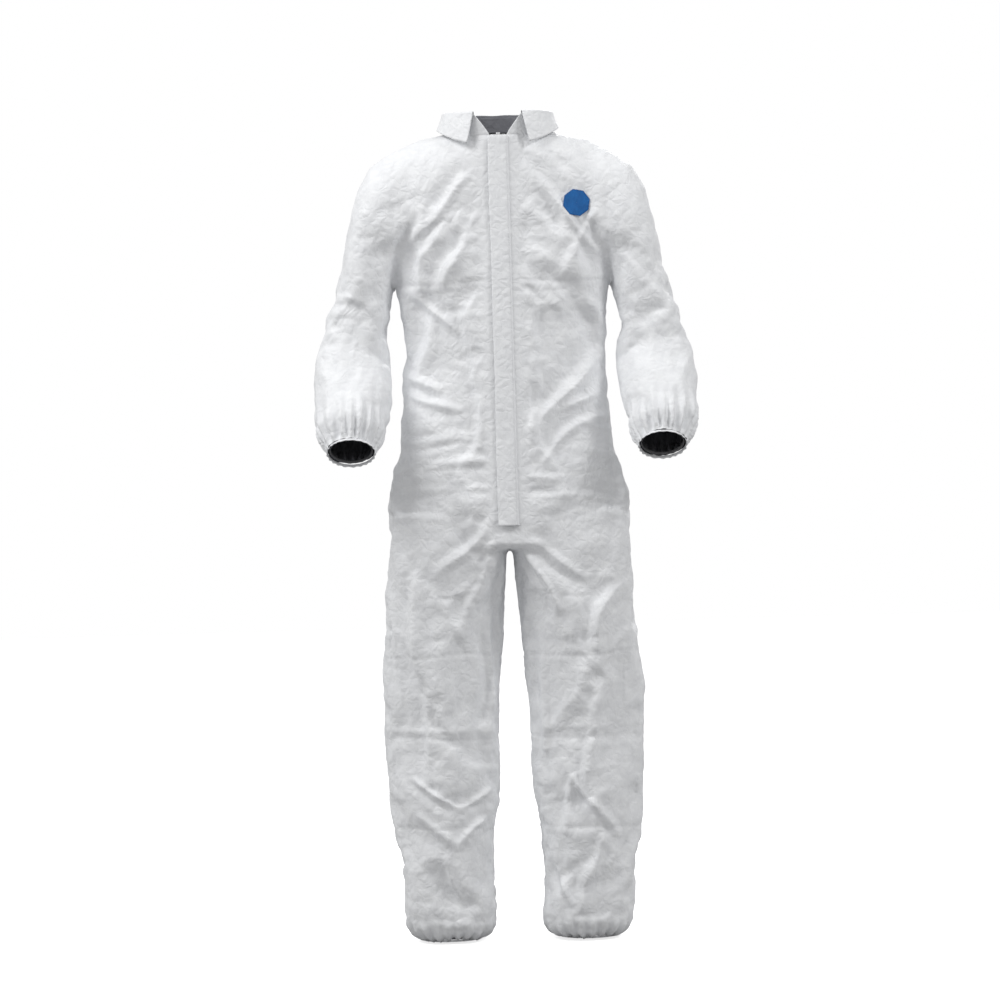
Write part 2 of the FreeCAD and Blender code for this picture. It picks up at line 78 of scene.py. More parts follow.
VOXEL = 0.0075
SIM_FRAMES = 20
BUCKLE_LIMIT = 0.012
SEED = 7
ARMHOLE_CUT_BELOW = 0.08
SEAM_NEAR = 0.0006
SEAM_FAR = 0.0066
SEAM_THICKNESS = 0.0008
SEAM_WAVE = 0.0004
THREAD_RADIUS = 0.00022
TWO_PLY = 0.0009
BAND_THICKNESS = 0.0009
BAND_SWELL = 0.0004


# --- small helpers -------------------------------------------------------------------------


def smooth(low, high, value):
    """0 below low, 1 above high, smooth between."""
    share = np.clip((value - low) / (high - low), 0.0, 1.0)
    return share * share * (3.0 - 2.0 * share)


def front_y(height):
    """The straight line of the centre front."""
    share = (FRONT_TOP - height) / (FRONT_TOP - CROTCH)
    return -(FRONT_AT_TOP + share * (FRONT_AT_CROTCH - FRONT_AT_TOP))


def linked(name, data):
    """Object for a mesh, a light or a camera, in the scene."""
    piece = bpy.data.objects.new(name, data)
    bpy.context.scene.collection.objects.link(piece)
    return piece


def mesh_object(name, points, faces):
    """Mesh object from points in frame metres."""
    mesh = bpy.data.meshes.new(name)
    mesh.from_pydata([tuple(p) for p in points], [], faces)
    mesh.update()
    return linked(name, mesh)


def new_object(name, points, faces):
    """Mesh object from points in garment heights."""
    lowered = [(float(p[0]), float(p[1]), float(p[2]) - NECK) for p in points]
    return mesh_object(name, lowered, faces)


def applied(piece):
    """Replaces the piece's mesh by its mesh with modifiers applied."""
    shown = piece.evaluated_get(bpy.context.evaluated_depsgraph_get())
    mesh = bpy.data.meshes.new_from_object(shown)
    piece.modifiers.clear()
    old = piece.data
    piece.data = mesh
    bpy.data.meshes.remove(old)
    return piece


def coordinates(mesh):
    """Vertex places and normals, with heights measured from the hems."""
    count = len(mesh.vertices)
    points = np.zeros(count * 3)
    normals = np.zeros(count * 3)
    mesh.vertices.foreach_get("co", points)
    mesh.vertices.foreach_get("normal", normals)
    points = points.reshape(-1, 3)
    points[:, 2] += NECK
    return points, normals.reshape(-1, 3)


def place(mesh, points):
    lowered = points.copy()
    lowered[:, 2] -= NECK
    mesh.vertices.foreach_set("co", lowered.ravel())
    mesh.update()


def shade_smooth(piece):
    piece.data.polygons.foreach_set("use_smooth", [True] * len(piece.data.polygons))


def facing_front(piece):
    """Turns a sheet's normals to the front, if they face the back."""
    if sum(f.normal.y * f.area for f in piece.data.polygons) > 0.0:
        piece.data.flip_normals()


def attach(piece, body, node=None):
    """Rides a piece on a body and the CAD node that it replaces."""
    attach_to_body(piece, body)
    if node is not None:
        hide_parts(node)


# --- the garment's volume ----------------------------------------------------------------


def ring(centre, across, ahead, behind, squareness, count=72):
    """Points of a closed rounded outline."""
    points = []
    for step in range(count):
        turn = 2.0 * math.pi * step / count
        side = math.copysign(abs(math.cos(turn)) ** (2.0 / squareness), math.cos(turn))
        deep = abs(math.sin(turn)) ** (2.0 / squareness)
        reach = behind if math.sin(turn) > 0.0 else ahead
        points.append(centre + across * side + reach * deep)
    return points


def closed_loft(rings):
    """Points and faces of a closed tube through the rings."""
    count = len(rings[0])
    points = [p for row in rings for p in row]
    faces = []
    for row in range(len(rings) - 1):
        for step in range(count):
            after = (step + 1) % count
            low = row * count
            faces.append((low + step, low + after, low + count + after, low + count + step))
    for row, turn in ((0, -1), (len(rings) - 1, 1)):
        start = row * count
        middle = sum(rings[row], Vector()) / count
        points.append(middle)
        for step in range(count):
            corner = (start + step, start + (step + 1) % count, len(points) - 1)
            faces.append(corner[::turn])
    return points, faces


def level_ring(height, left, right, front, back, squareness, rise=0.0):
    centre = Vector(((left + right) / 2.0, 0.0, height))
    across = Vector(((right - left) / 2.0, 0.0, 0.0))
    ahead = Vector((0.0, -front, -front * rise))
    behind = Vector((0.0, back, back * rise))
    return ring(centre, across, ahead, behind, squareness)


def body_volume():
    """Height, half width, back depth, squareness; the front follows the zipper's line."""
    rows = [
        (0.762, 0.218, 0.116, 3.0),
        (0.785, 0.225, 0.123, 3.2),
        (0.830, 0.224, 0.126, 3.2),
        (0.930, 0.221, 0.122, 3.0),
        (1.000, 0.215, 0.112, 2.8),
        (1.060, 0.206, 0.103, 2.6),
        (1.110, 0.196, 0.098, 2.5),
        (1.180, 0.194, 0.101, 2.5),
        (1.250, 0.199, 0.106, 2.7),
        (1.320, 0.206, 0.111, 3.0),
        (1.400, 0.212, 0.113, 3.3),
        (1.460, 0.214, 0.109, 3.3),
        (1.490, 0.212, 0.100, 2.7),
        (1.515, 0.210, 0.092, 2.2),
    ]
    rings = [level_ring(h, -w, w, -front_y(h), b, s) for h, w, b, s in rows]
    rings.append(level_ring(1.532, -0.203, 0.203, 0.084, 0.086, 1.8))
    rings.append(level_ring(1.545, -0.184, 0.184, 0.080, 0.078, 1.7, 0.03))
    rings.append(level_ring(1.556, -0.150, 0.150, 0.075, 0.070, 1.8, 0.08))
    rings.append(level_ring(1.563, -0.105, 0.105, 0.070, 0.062, 2.0, 0.12))
    return rings


def neck_volume():
    half, height, depth, rise = NECK_OVAL
    rings = []
    for lift, spread in ((-0.06, 0.004), (-0.015, 0.001), (0.02, 0.0)):
        centre = Vector((0.0, NECK_Y, height + lift))
        back = Vector((0.0, depth + spread, (depth + spread) * rise))
        rings.append(ring(centre, Vector((half + spread, 0, 0)), -back, back, 2.2))
    return rings


def leg_volume(side):
    """Height, inner x, outer x, front depth, back depth, squareness."""
    rows = [
        (0.820, 0.020, 0.222, 0.114, 0.120, 3.0),
        (0.753, 0.006, 0.225, 0.121, 0.118, 3.0),
        (0.700, 0.009, 0.228, 0.117, 0.114, 2.7),
        (0.640, 0.014, 0.233, 0.110, 0.111, 2.5),
        (0.580, 0.018, 0.243, 0.105, 0.108, 2.4),
        (0.467, 0.027, 0.244, 0.098, 0.101, 2.4),
        (0.350, 0.032, 0.237, 0.092, 0.097, 2.5),
        (0.275, 0.036, 0.236, 0.090, 0.096, 2.6),
        (0.198, 0.046, 0.231, 0.088, 0.095, 2.8),
        (0.121, 0.049, 0.222, 0.086, 0.091, 3.0),
        (0.060, 0.047, 0.221, 0.084, 0.089, 3.3),
        (0.032, 0.049, 0.219, 0.081, 0.086, 3.3),
        (0.013, 0.057, 0.212, 0.074, 0.078, 3.0),
        (0.004, 0.070, 0.200, 0.062, 0.066, 2.5),
    ]
    rings = []
    for height, inner, outer, front, back, square in rows:
        left, right = sorted((inner * side, outer * side))
        rings.append(level_ring(height, left, right, front, back, square))
    return rings[::-1]


def sleeve_volume(side):
    """Outer x and height, inner x and height, middle y, half depth, forward tilt in degrees."""
    rows = [
        (0.150, 1.541, 0.150, 1.310, 0.000, 0.074, 0.0),
        (0.205, 1.533, 0.207, 1.290, 0.000, 0.080, 0.0),
        (0.254, 1.502, 0.213, 1.274, -0.002, 0.083, 0.0),
        (0.279, 1.455, 0.216, 1.262, -0.003, 0.083, 0.0),
        (0.292, 1.395, 0.219, 1.245, -0.005, 0.081, 0.0),
        (0.312, 1.311, 0.225, 1.215, -0.008, 0.078, 0.0),
        (0.334, 1.234, 0.229, 1.175, -0.014, 0.075, 4.0),
        (0.352, 1.150, 0.229, 1.120, -0.030, 0.072, 14.0),
        (0.361, 1.085, 0.230, 1.075, -0.062, 0.068, 24.0),
        (0.363, 1.030, 0.231, 1.025, -0.098, 0.064, 30.0),
        (0.361, 0.985, 0.236, 0.985, -0.127, 0.056, 33.0),
    ]
    rings = []
    for outer_x, outer_h, inner_x, inner_h, middle, half, tilt in rows:
        outer = Vector((outer_x * side, middle, outer_h))
        inner = Vector((inner_x * side, middle, inner_h))
        turn = math.radians(tilt)
        deep = Vector((0, math.cos(turn), -math.sin(turn))) * half
        rings.append(ring((outer + inner) / 2.0, (outer - inner) / 2.0, -deep, deep, 2.15))
    deep = Vector((0, math.cos(WRIST_TILT), -math.sin(WRIST_TILT)))
    wrist = Vector((WRIST.x * side, WRIST.y, WRIST.z))
    for along, radius in ((-0.018, 0.0475), (0.0, WRIST_RADIUS), (0.03, WRIST_RADIUS)):
        centre = wrist + WRIST_AXIS * along
        across = Vector((radius * side, 0, 0))
        rings.append(ring(centre, across, -deep * radius, deep * radius, 2.0))
    return rings


def garment():
    """One skin round the body, legs and sleeves."""
    points, faces = [], []
    volumes = [body_volume(), neck_volume()]
    for side in (-1, 1):
        volumes.append(leg_volume(side))
        volumes.append(sleeve_volume(side))
    for rings in volumes:
        more, corners = closed_loft(rings)
        start = len(points)
        points += more
        faces += [tuple(start + c for c in face) for face in corners]
    skin = new_object("skin", points, faces)
    fix = bmesh.new()
    fix.from_mesh(skin.data)
    bmesh.ops.recalc_face_normals(fix, faces=fix.faces)
    fix.to_mesh(skin.data)
    fix.free()
    remesh = skin.modifiers.new("remesh", "REMESH")
    remesh.mode = "VOXEL"
    remesh.voxel_size = VOXEL
    applied(skin)
    soften = skin.modifiers.new("soften", "SMOOTH")
    soften.factor = 0.5
    soften.iterations = 6
    return applied(skin)


def cut_away(shape, point, normal, near, reach):
    """Cuts with a plane near a place, and removes what lies beyond it."""
    point = Vector((point[0], point[1], point[2] - NECK))
    near = Vector((near[0], near[1], near[2] - NECK))
    faces = [f for f in shape.faces if (f.calc_center_median() - near).length < reach]
    edges = {e for f in faces for e in f.edges}
    corners = {v for f in faces for v in f.verts}
    bmesh.ops.bisect_plane(
        shape,
        geom=list(corners) + list(edges) + faces,
        plane_co=point,
        plane_no=normal,
        clear_outer=False,
    )
    beyond = []
    for face in shape.faces:
        middle = face.calc_center_median()
        if (middle - near).length < reach + 0.02 and (middle - point).dot(normal) > 1e-6:
            beyond.append(face)
    bmesh.ops.delete(shape, geom=beyond, context="FACES")


def opened(skin):
    """Opens the neck, the wrists and the ankles."""
    shape = bmesh.new()
    shape.from_mesh(skin.data)
    half, height, depth, rise = NECK_OVAL
    neck_normal = Vector((0.0, -rise, 1.0)).normalized()
    neck = (0.0, NECK_Y, height + 0.002)
    cut_away(shape, neck, neck_normal, neck, 0.13)
    for side in (-1, 1):
        wrist = (WRIST.x * side, WRIST.y, WRIST.z)
        cut_away(shape, wrist, WRIST_AXIS, wrist, 0.06)
        ankle = Vector((ANKLE_X * side, 0.0, -NECK))
        under = [
            f
            for f in shape.faces
            if (f.calc_center_median() - ankle).length < ANKLE_RADIUS + 0.003
        ]
        bmesh.ops.delete(shape, geom=under, context="FACES")
        for vertex in shape.verts:
            away = Vector((vertex.co.x - ankle.x, vertex.co.y, 0.0))
            if vertex.is_boundary and (vertex.co - ankle).length < ANKLE_RADIUS + 0.02:
                vertex.co = ankle + away.normalized() * ANKLE_RADIUS + Vector((0, 0, 0.004))
    bmesh.ops.remove_doubles(shape, verts=shape.verts, dist=0.0004)
    shape.to_mesh(skin.data)
    shape.free()
    return skin


def held_share(points):
    """How firmly each point is held while the cloth buckles: rims, zipper and seams most."""
    x, y, h = points[:, 0], points[:, 1], points[:, 2]
    wide = np.abs(x)
    neck = smooth(1.50, 1.548, h) * smooth(0.17, 0.12, wide)
    front = smooth(0.045, 0.022, wide) * (y < 0.0) * smooth(0.77, 0.82, h)
    wrists = smooth(0.05, 0.0, (WRIST.z - points[:, 2]) * WRIST_AXIS.z
                    - (WRIST.y - points[:, 1]) * -WRIST_AXIS.y)
    ankles = smooth(0.03, 0.006, h)
    arm = (wide > ARMHOLE_X + 0.02) & (h < 1.1) & (h > 0.85)
    shoulders = 0.9 * smooth(1.40, 1.47, h)
    inseam = 0.9 * smooth(0.035, 0.015, np.abs(y)) * smooth(0.09, 0.06, wide) * (h < CROTCH + 0.02)
    return np.maximum.reduce([neck, front, wrists * arm, ankles, shoulders, inseam])


def buckled(skin):
    """Lets the cloth grow a little between its held rims, so that it buckles as it would."""
    points, normals = coordinates(skin.data)
    share = held_share(points)
    group = skin.vertex_groups.new(name="held")
    for index, value in enumerate(share):
        group.add([index], float(0.02 + 0.98 * value), "REPLACE")
    cloth = skin.modifiers.new("cloth", "CLOTH")
    settings = cloth.settings
    settings.quality = 5
    settings.mass = 0.02
    settings.tension_stiffness = 30.0
    settings.compression_stiffness = 30.0
    settings.shear_stiffness = 12.0
    settings.bending_stiffness = 0.4
    settings.air_damping = 2.0
    settings.vertex_group_mass = "held"
    settings.pin_stiffness = 0.6
    settings.use_pressure = True
    settings.uniform_pressure_force = 0.18
    settings.shrink_min = -0.035
    settings.shrink_max = -0.035
    settings.effector_weights.gravity = 0.0
    cloth.collision_settings.use_collision = False
    scene = bpy.context.scene
    scene.frame_start = 1
    scene.frame_end = SIM_FRAMES
    cloth.point_cache.frame_start = 1
    cloth.point_cache.frame_end = SIM_FRAMES
    for step in range(1, SIM_FRAMES + 1):
        scene.frame_set(step)
    applied(skin)
    moved, _ = coordinates(skin.data)
    shift = moved - points
    size = np.linalg.norm(shift, axis=1, keepdims=True)
    place(skin.data, points + shift * np.minimum(1.0, BUCKLE_LIMIT / np.maximum(size, 1e-9)))
    scene.frame_set(1)
    return skin


# --- folds and crumples ------------------------------------------------------------------


def jittered_cells(points, size, seed):
    """Distances to the nearest and second nearest scattered centres, in cells, and a sign."""
    scaled = points / np.asarray(size)
    base = np.floor(scaled).astype(np.int64)
    nearest = np.full(len(points), 9.0)
    second = np.full(len(points), 9.0)
    sign = np.zeros(len(points))
    for offset in np.ndindex(3, 3, 3):
        cell = base + np.asarray(offset) - 1
        key = cell[:, 0] * 73856093 ^ cell[:, 1] * 19349663 ^ cell[:, 2] * 83492791
        key = (key + seed * 2654435761) & 0xFFFFFFFF
        jitter = []
        for turn in range(4):
            key = (key * 1664525 + 1013904223 + turn) & 0xFFFFFFFF
            mixed = (key ^ (key >> 15)) * 2246822519 & 0xFFFFFFFF
            jitter.append(((mixed ^ (mixed >> 13)) & 0xFFFF) / 65535.0)
        centre = cell + np.stack(jitter[:3], axis=1)
        distance = np.linalg.norm(scaled - centre, axis=1)
        closer = distance < nearest
        second = np.where(closer, nearest, np.minimum(second, distance))
        sign = np.where(closer, jitter[3] * 2.0 - 1.0, sign)
        nearest = np.where(closer, distance, nearest)
    return nearest, second, sign


def crumple(points, size, seed):
    """Flat facets that meet in sharp creases, some raised and some sunk."""
    nearest, second, sign = jittered_cells(points, size, seed)
    return (second - nearest) * np.sign(sign) * (0.4 + 0.6 * np.abs(sign))


def waves(points, length, seed, count=6):
    """Smooth noise of about one wavelength."""
    draw = np.random.default_rng(seed)
    total = np.zeros(len(points))
    for _ in range(count):
        direction = draw.normal(size=3)
        direction /= np.linalg.norm(direction)
        phase = draw.uniform(0.0, 2.0 * math.pi)
        total += np.sin(points @ direction * 2.0 * math.pi / length + phase)
    return total / math.sqrt(count)


def turned(points, degrees):
    """Points turned in the plane of the front, the same way on both sides of the body."""
    angle = math.radians(degrees)
    x = np.abs(points[:, 0])
    h = points[:, 2]
    along = x * math.cos(angle) + h * math.sin(angle)
    across = h * math.cos(angle) - x * math.sin(angle)
    return np.stack([along, points[:, 1] + (points[:, 0] > 0) * 3.7, across], axis=1)


def fold(x, h, start, end, width, depth):
    """A sharp crest with a soft hollow beside it, between two places on the front or back."""
    x0, h0 = start
    x1, h1 = end
    length = math.hypot(x1 - x0, h1 - h0)
    along = ((x - x0) * (x1 - x0) + (h - h0) * (h1 - h0)) / length
    aside = ((x - x0) * (h1 - h0) - (h - h0) * (x1 - x0)) / length
    aside = aside + 0.12 * length * (along / length - 0.5) ** 2
    share = np.clip(along / length, 0.0, 1.0)
    taper = np.sqrt(np.clip(np.sin(math.pi * share), 0.0, 1.0))
    crest = np.clip(1.0 - np.abs(aside) / width, 0.0, 1.0)
    hollow = np.exp(-(((aside - 1.3 * width) / width) ** 2))
    return depth * taper * (crest - 0.55 * hollow)


# Folds of the front: start (x, height), end, half width, depth
FRONT_FOLDS = [
    ((0.060, 1.470), (0.190, 1.300), 0.016, 0.008),
    ((0.100, 1.400), (0.155, 1.265), 0.020, 0.010),
    ((0.185, 1.420), (0.120, 1.280), 0.014, 0.006),
    ((0.050, 1.330), (0.180, 1.260), 0.018, 0.006),
    ((0.150, 1.270), (0.195, 1.130), 0.018, 0.009),
    ((0.190, 1.130), (0.040, 0.980), 0.020, 0.011),
    ((0.185, 1.070), (0.090, 1.010), 0.012, 0.006),
    ((0.200, 1.030), (0.060, 0.930), 0.014, 0.006),
    ((-0.070, 1.480), (-0.190, 1.330), 0.014, 0.007),
    ((-0.115, 1.400), (-0.155, 1.255), 0.020, 0.010),
    ((-0.070, 1.350), (-0.105, 1.265), 0.015, 0.008),
    ((-0.190, 1.440), (-0.130, 1.290), 0.014, 0.006),
    ((-0.180, 1.250), (-0.100, 1.170), 0.016, 0.007),
    ((-0.195, 1.100), (-0.120, 1.060), 0.012, 0.008),
    ((-0.190, 1.060), (-0.080, 1.020), 0.012, 0.006),
    ((-0.155, 1.200), (-0.165, 1.080), 0.016, 0.007),
    ((0.030, 0.795), (0.150, 0.700), 0.014, 0.007),
    ((0.025, 0.770), (0.095, 0.620), 0.014, 0.008),
    ((-0.030, 0.795), (-0.150, 0.710), 0.014, 0.007),
    ((-0.025, 0.770), (-0.090, 0.610), 0.014, 0.008),
    ((-0.195, 0.720), (-0.172, 0.480), 0.020, 0.012),
    ((-0.172, 0.500), (-0.168, 0.300), 0.016, 0.008),
    ((-0.045, 0.700), (-0.050, 0.330), 0.013, 0.007),
    ((0.210, 0.700), (0.160, 0.520), 0.018, 0.011),
    ((0.162, 0.540), (0.152, 0.180), 0.016, 0.009),
    ((0.055, 0.560), (0.060, 0.330), 0.013, 0.006),
    ((-0.200, 0.320), (-0.130, 0.248), 0.010, 0.008),
    ((-0.060, 0.310), (-0.130, 0.248), 0.010, 0.008),
    ((-0.200, 0.240), (-0.130, 0.186), 0.010, 0.007),
    ((-0.060, 0.245), (-0.130, 0.186), 0.010, 0.007),
    ((-0.150, 0.180), (-0.100, 0.060), 0.012, 0.007),
    ((0.122, 0.320), (0.085, 0.200), 0.012, 0.008),
    ((0.122, 0.320), (0.160, 0.245), 0.011, 0.008),
    ((0.155, 0.260), (0.200, 0.190), 0.011, 0.007),
    ((0.153, 0.210), (0.128, 0.050), 0.013, 0.009),
    ((0.075, 0.150), (0.110, 0.060), 0.010, 0.006),
]
# Folds of the back
BACK_FOLDS = [
    ((0.040, 1.460), (0.185, 1.320), 0.018, 0.009),
    ((0.070, 1.400), (0.190, 1.250), 0.018, 0.009),
    ((-0.050, 1.470), (-0.180, 1.330), 0.016, 0.008),
    ((-0.080, 1.380), (-0.190, 1.240), 0.018, 0.010),
    ((0.170, 1.220), (0.060, 1.110), 0.016, 0.009),
    ((-0.160, 1.210), (-0.050, 1.115), 0.016, 0.009),
    ((0.150, 1.060), (0.050, 0.990), 0.014, 0.008),
    ((-0.170, 1.070), (-0.060, 1.000), 0.014, 0.008),
    ((0.020, 0.800), (0.160, 0.690), 0.014, 0.009),
    ((-0.020, 0.800), (-0.150, 0.680), 0.014, 0.009),
    ((0.030, 0.760), (0.110, 0.580), 0.014, 0.008),
    ((-0.030, 0.760), (-0.120, 0.590), 0.014, 0.008),
    ((0.120, 0.560), (0.130, 0.250), 0.016, 0.009),
    ((-0.130, 0.540), (-0.125, 0.260), 0.016, 0.009),
    ((0.070, 0.300), (0.180, 0.200), 0.012, 0.008),
    ((-0.075, 0.280), (-0.190, 0.200), 0.012, 0.008),
    ((0.090, 0.180), (0.150, 0.060), 0.012, 0.007),
    ((-0.090, 0.190), (-0.150, 0.070), 0.012, 0.007),
]
# Heights where the suit was folded flat in its packet
PACKED_LINES = (1.269, 0.551, 0.392, 0.217)


def wrist_place(points):
    """Distance up each arm from its cuff, and the turn round the arm."""
    side = np.sign(points[:, 0])
    dx = points[:, 0] - side * WRIST.x
    dy = points[:, 1] - WRIST.y
    dh = points[:, 2] - WRIST.z
    up = -(dy * WRIST_AXIS.y + dh * WRIST_AXIS.z)
    deep = dy * math.cos(WRIST_TILT) - dh * math.sin(WRIST_TILT)
    return up, np.arctan2(deep, dx)


def gathers(turn, count, seed):
    """Uneven pleats round an elastic."""
    draw = np.random.default_rng(seed)
    phase = count * turn
    for part in range(2, 6):
        phase = phase + draw.uniform(0.2, 0.9) * np.sin(part * turn + draw.uniform(0.0, 6.3))
    return np.sin(phase)


def relief(points, normals):
    """How far each point of the cloth stands out from the smooth garment."""
    x, y, h = points[:, 0], points[:, 1], points[:, 2]
    wide = np.abs(x)
    warp = np.stack([waves(points, 0.16, SEED + k) for k in range(3)], axis=1)
    loose = points + 0.012 * warp
    arm = smooth(ARMHOLE_X - 0.03, ARMHOLE_X + 0.05, wide) * smooth(1.00, 1.06, h + 3.0 * (wide > 0.235))
    body = 1.0 - arm
    hips = smooth(0.78, 0.84, h) * smooth(1.04, 0.98, h) * body
    legs = smooth(0.78, 0.72, h) * body
    shins = smooth(0.42, 0.30, h) * body
    chest = smooth(1.16, 1.26, h) * body
    out = 0.0055 * crumple(loose, (0.13, 0.13, 0.17), 11)
    out += 0.0046 * crumple(loose, (0.060, 0.060, 0.075), 12)
    out += 0.0024 * crumple(loose, (0.028, 0.028, 0.032), 13)
    flat = turned(loose, 0.0)
    out += 0.0060 * hips * crumple(flat, (0.13, 0.13, 0.026), 14)
    out += 0.0048 * legs * crumple(flat, (0.045, 0.045, 0.19), 15)
    out += 0.0048 * shins * crumple(turned(loose, 35.0), (0.09, 0.09, 0.035), 16)
    out += 0.0056 * chest * crumple(turned(loose, -48.0), (0.12, 0.12, 0.032), 17)
    out += 0.0052 * arm * crumple(turned(loose, -62.0), (0.13, 0.13, 0.034), 18)
    elbow = arm * np.exp(-(((h - 1.24) / 0.05) ** 2))
    out += 0.0075 * elbow * crumple(turned(loose, 12.0), (0.07, 0.07, 0.028), 19)
    out += 0.0040 * smooth(0.035, 0.0, np.abs(h - 1.10)) * body * crumple(flat, (0.05, 0.05, 0.02), 20)
    facing = smooth(0.05, 0.45, -normals[:, 1]) * body
    top = smooth(1.42, 1.50, h) * np.exp(-(((wide - ARMHOLE_X) / 0.035) ** 2))
    out *= 1.0 - 0.7 * top
    badge = np.hypot(x - 0.147, h - 1.417)
    out *= np.where(y < 0.0, 0.45 + 0.55 * smooth(0.02, 0.06, badge), 1.0)
    for start, end, width, depth in FRONT_FOLDS:
        out += facing * fold(loose[:, 0], loose[:, 2], start, end, width, 1.05 * depth)
    facing = smooth(0.05, 0.45, normals[:, 1]) * body
    for start, end, width, depth in BACK_FOLDS:
        out += facing * fold(loose[:, 0], loose[:, 2], start, end, width, depth)
    for height in PACKED_LINES:
        line = np.clip(1.0 - np.abs(h + 0.004 * warp[:, 0] - height) / 0.006, 0.0, 1.0)
        out -= 0.0016 * line * body
    for middle in (0.115, 0.150):
        line = np.clip(1.0 - np.abs(wide + 0.003 * warp[:, 1] - middle) / 0.006, 0.0, 1.0)
        out += 0.0012 * line * body * smooth(0.70, 0.60, h)
    up, turn = wrist_place(points)
    near = arm * (h < 1.12)
    out += near * 0.0062 * gathers(turn, 19, 31) * smooth(0.115, 0.0, up) * smooth(-0.002, 0.012, up)
    out += near * 0.0035 * smooth(0.10, 0.03, up) * smooth(0.0, 0.03, up)
    turn = np.arctan2(y, wide - ANKLE_X)
    out += 0.0032 * gathers(turn, 24, 32) * smooth(0.055, 0.01, h)
    return out * calm(points)


def calm(points):
    """Where the cloth is kept smooth: under the flap, at the neck and beside the seams."""
    x, y, h = points[:, 0], points[:, 1], points[:, 2]
    wide = np.abs(x)
    front = smooth(0.022, 0.050, wide)
    front = np.where((y < 0.0) & (h > 0.76), front, 1.0)
    neck = 1.0 - smooth(1.50, 1.54, h) * smooth(0.18, 0.12, wide)
    between = smooth(0.002, 0.020, wide)
    between = np.where(h < CROTCH + 0.01, between, 1.0)
    return np.minimum(front, between) * neck


def seam_valleys(points):
    """The cloth dips a little along each sewn seam, and puckers beside it."""
    x, y, h = points[:, 0], points[:, 1], points[:, 2]
    wide = np.abs(x)
    arm = (wide > ARMHOLE_X + 0.004) & (h > 0.86)
    side = np.where(arm, 9.0, np.abs(y))
    armhole = np.where(h > ARMPIT - 0.03, np.abs(wide - ARMHOLE_X) + 0.0035, 9.0)
    back = np.where((y > 0.0) & (h > CROTCH), wide, 9.0)
    low_front = np.where((y < 0.0) & (h < FLAP_LOW + 0.01) & (h > CROTCH), wide, 9.0)
    near = np.minimum.reduce([side, armhole, back, low_front])
    pucker = waves(points, 0.016, 41) * np.exp(-((near / 0.010) ** 2))
    return -0.0014 * np.exp(-((near / 0.0028) ** 2)) + 0.0007 * pucker


def straight_front(points):
    """Lays the centre of the front on the zipper's line."""
    x, y, h = points[:, 0], points[:, 1], points[:, 2]
    share = smooth(0.050, 0.018, np.abs(x)) * smooth(0.775, 0.805, h) * (y < -0.03)
    share = share * smooth(1.575, 1.545, h)
    raised = FACING_LIFT * smooth(0.006, 0.012, np.abs(x)) * smooth(0.79, 0.82, h)
    points[:, 1] = y + share * (front_y(h) + 0.0006 - raised - y)
    return points


def creased(skin):
    """Divides the mesh once and gives it its folds."""
    soften = skin.modifiers.new("soften", "SMOOTH")
    soften.factor = 0.4
    soften.iterations = 2
    finer = skin.modifiers.new("finer", "SUBSURF")
    finer.levels = 1
    finer.render_levels = 1
    applied(skin)
    points, normals = coordinates(skin.data)
    points = points + normals * relief(points, normals)[:, None]
    place(skin.data, points)
    points, normals = coordinates(skin.data)
    points = points + normals * seam_valleys(points)[:, None]
    place(skin.data, straight_front(points))
    return skin


# --- materials -----------------------------------------------------------------------------


def new_material(name, colour, roughness):
    material = bpy.data.materials.new(name)
    material.use_nodes = True
    shader = material.node_tree.nodes["Principled BSDF"]
    shader.inputs["Base Color"].default_value = (*colour, 1.0)
    shader.inputs["Roughness"].default_value = roughness
    return material, shader


def add_node(material, kind, **values):
    node = material.node_tree.nodes.new(kind)
    for key, value in values.items():
        socket = node.inputs.get(key.replace("_", " "))
        if socket is not None:
            socket.default_value = value
        else:
            setattr(node, key, value)
    return node


def wire(material, start, start_socket, end, end_socket):
    material.node_tree.links.new(start.outputs[start_socket], end.inputs[end_socket])


def mottled(material, shader, low, high, scale):
    """Colour that varies a little over the surface."""
    place_node = add_node(material, "ShaderNodeTexCoord")
    noise = add_node(material, "ShaderNodeTexNoise", Scale=scale, Detail=5.0, Roughness=0.6)
    ramp = add_node(material, "ShaderNodeValToRGB")
    ramp.color_ramp.elements[0].position = 0.35
    ramp.color_ramp.elements[0].color = (*low, 1.0)
    ramp.color_ramp.elements[1].position = 0.65
    ramp.color_ramp.elements[1].color = (*high, 1.0)
    wire(material, place_node, "Object", noise, "Vector")
    wire(material, noise, "Fac", ramp, "Fac")
    wire(material, ramp, "Color", shader, "Base Color")
    return place_node


def bumped(material, source, socket, strength, distance, below=None):
    """Bump from a node's output, laid over another bump if there is one."""
    bump = add_node(material, "ShaderNodeBump", Strength=strength, Distance=distance)
    wire(material, source, socket, bump, "Height")
    if below is not None:
        wire(material, below, "Normal", bump, "Normal")
    return bump


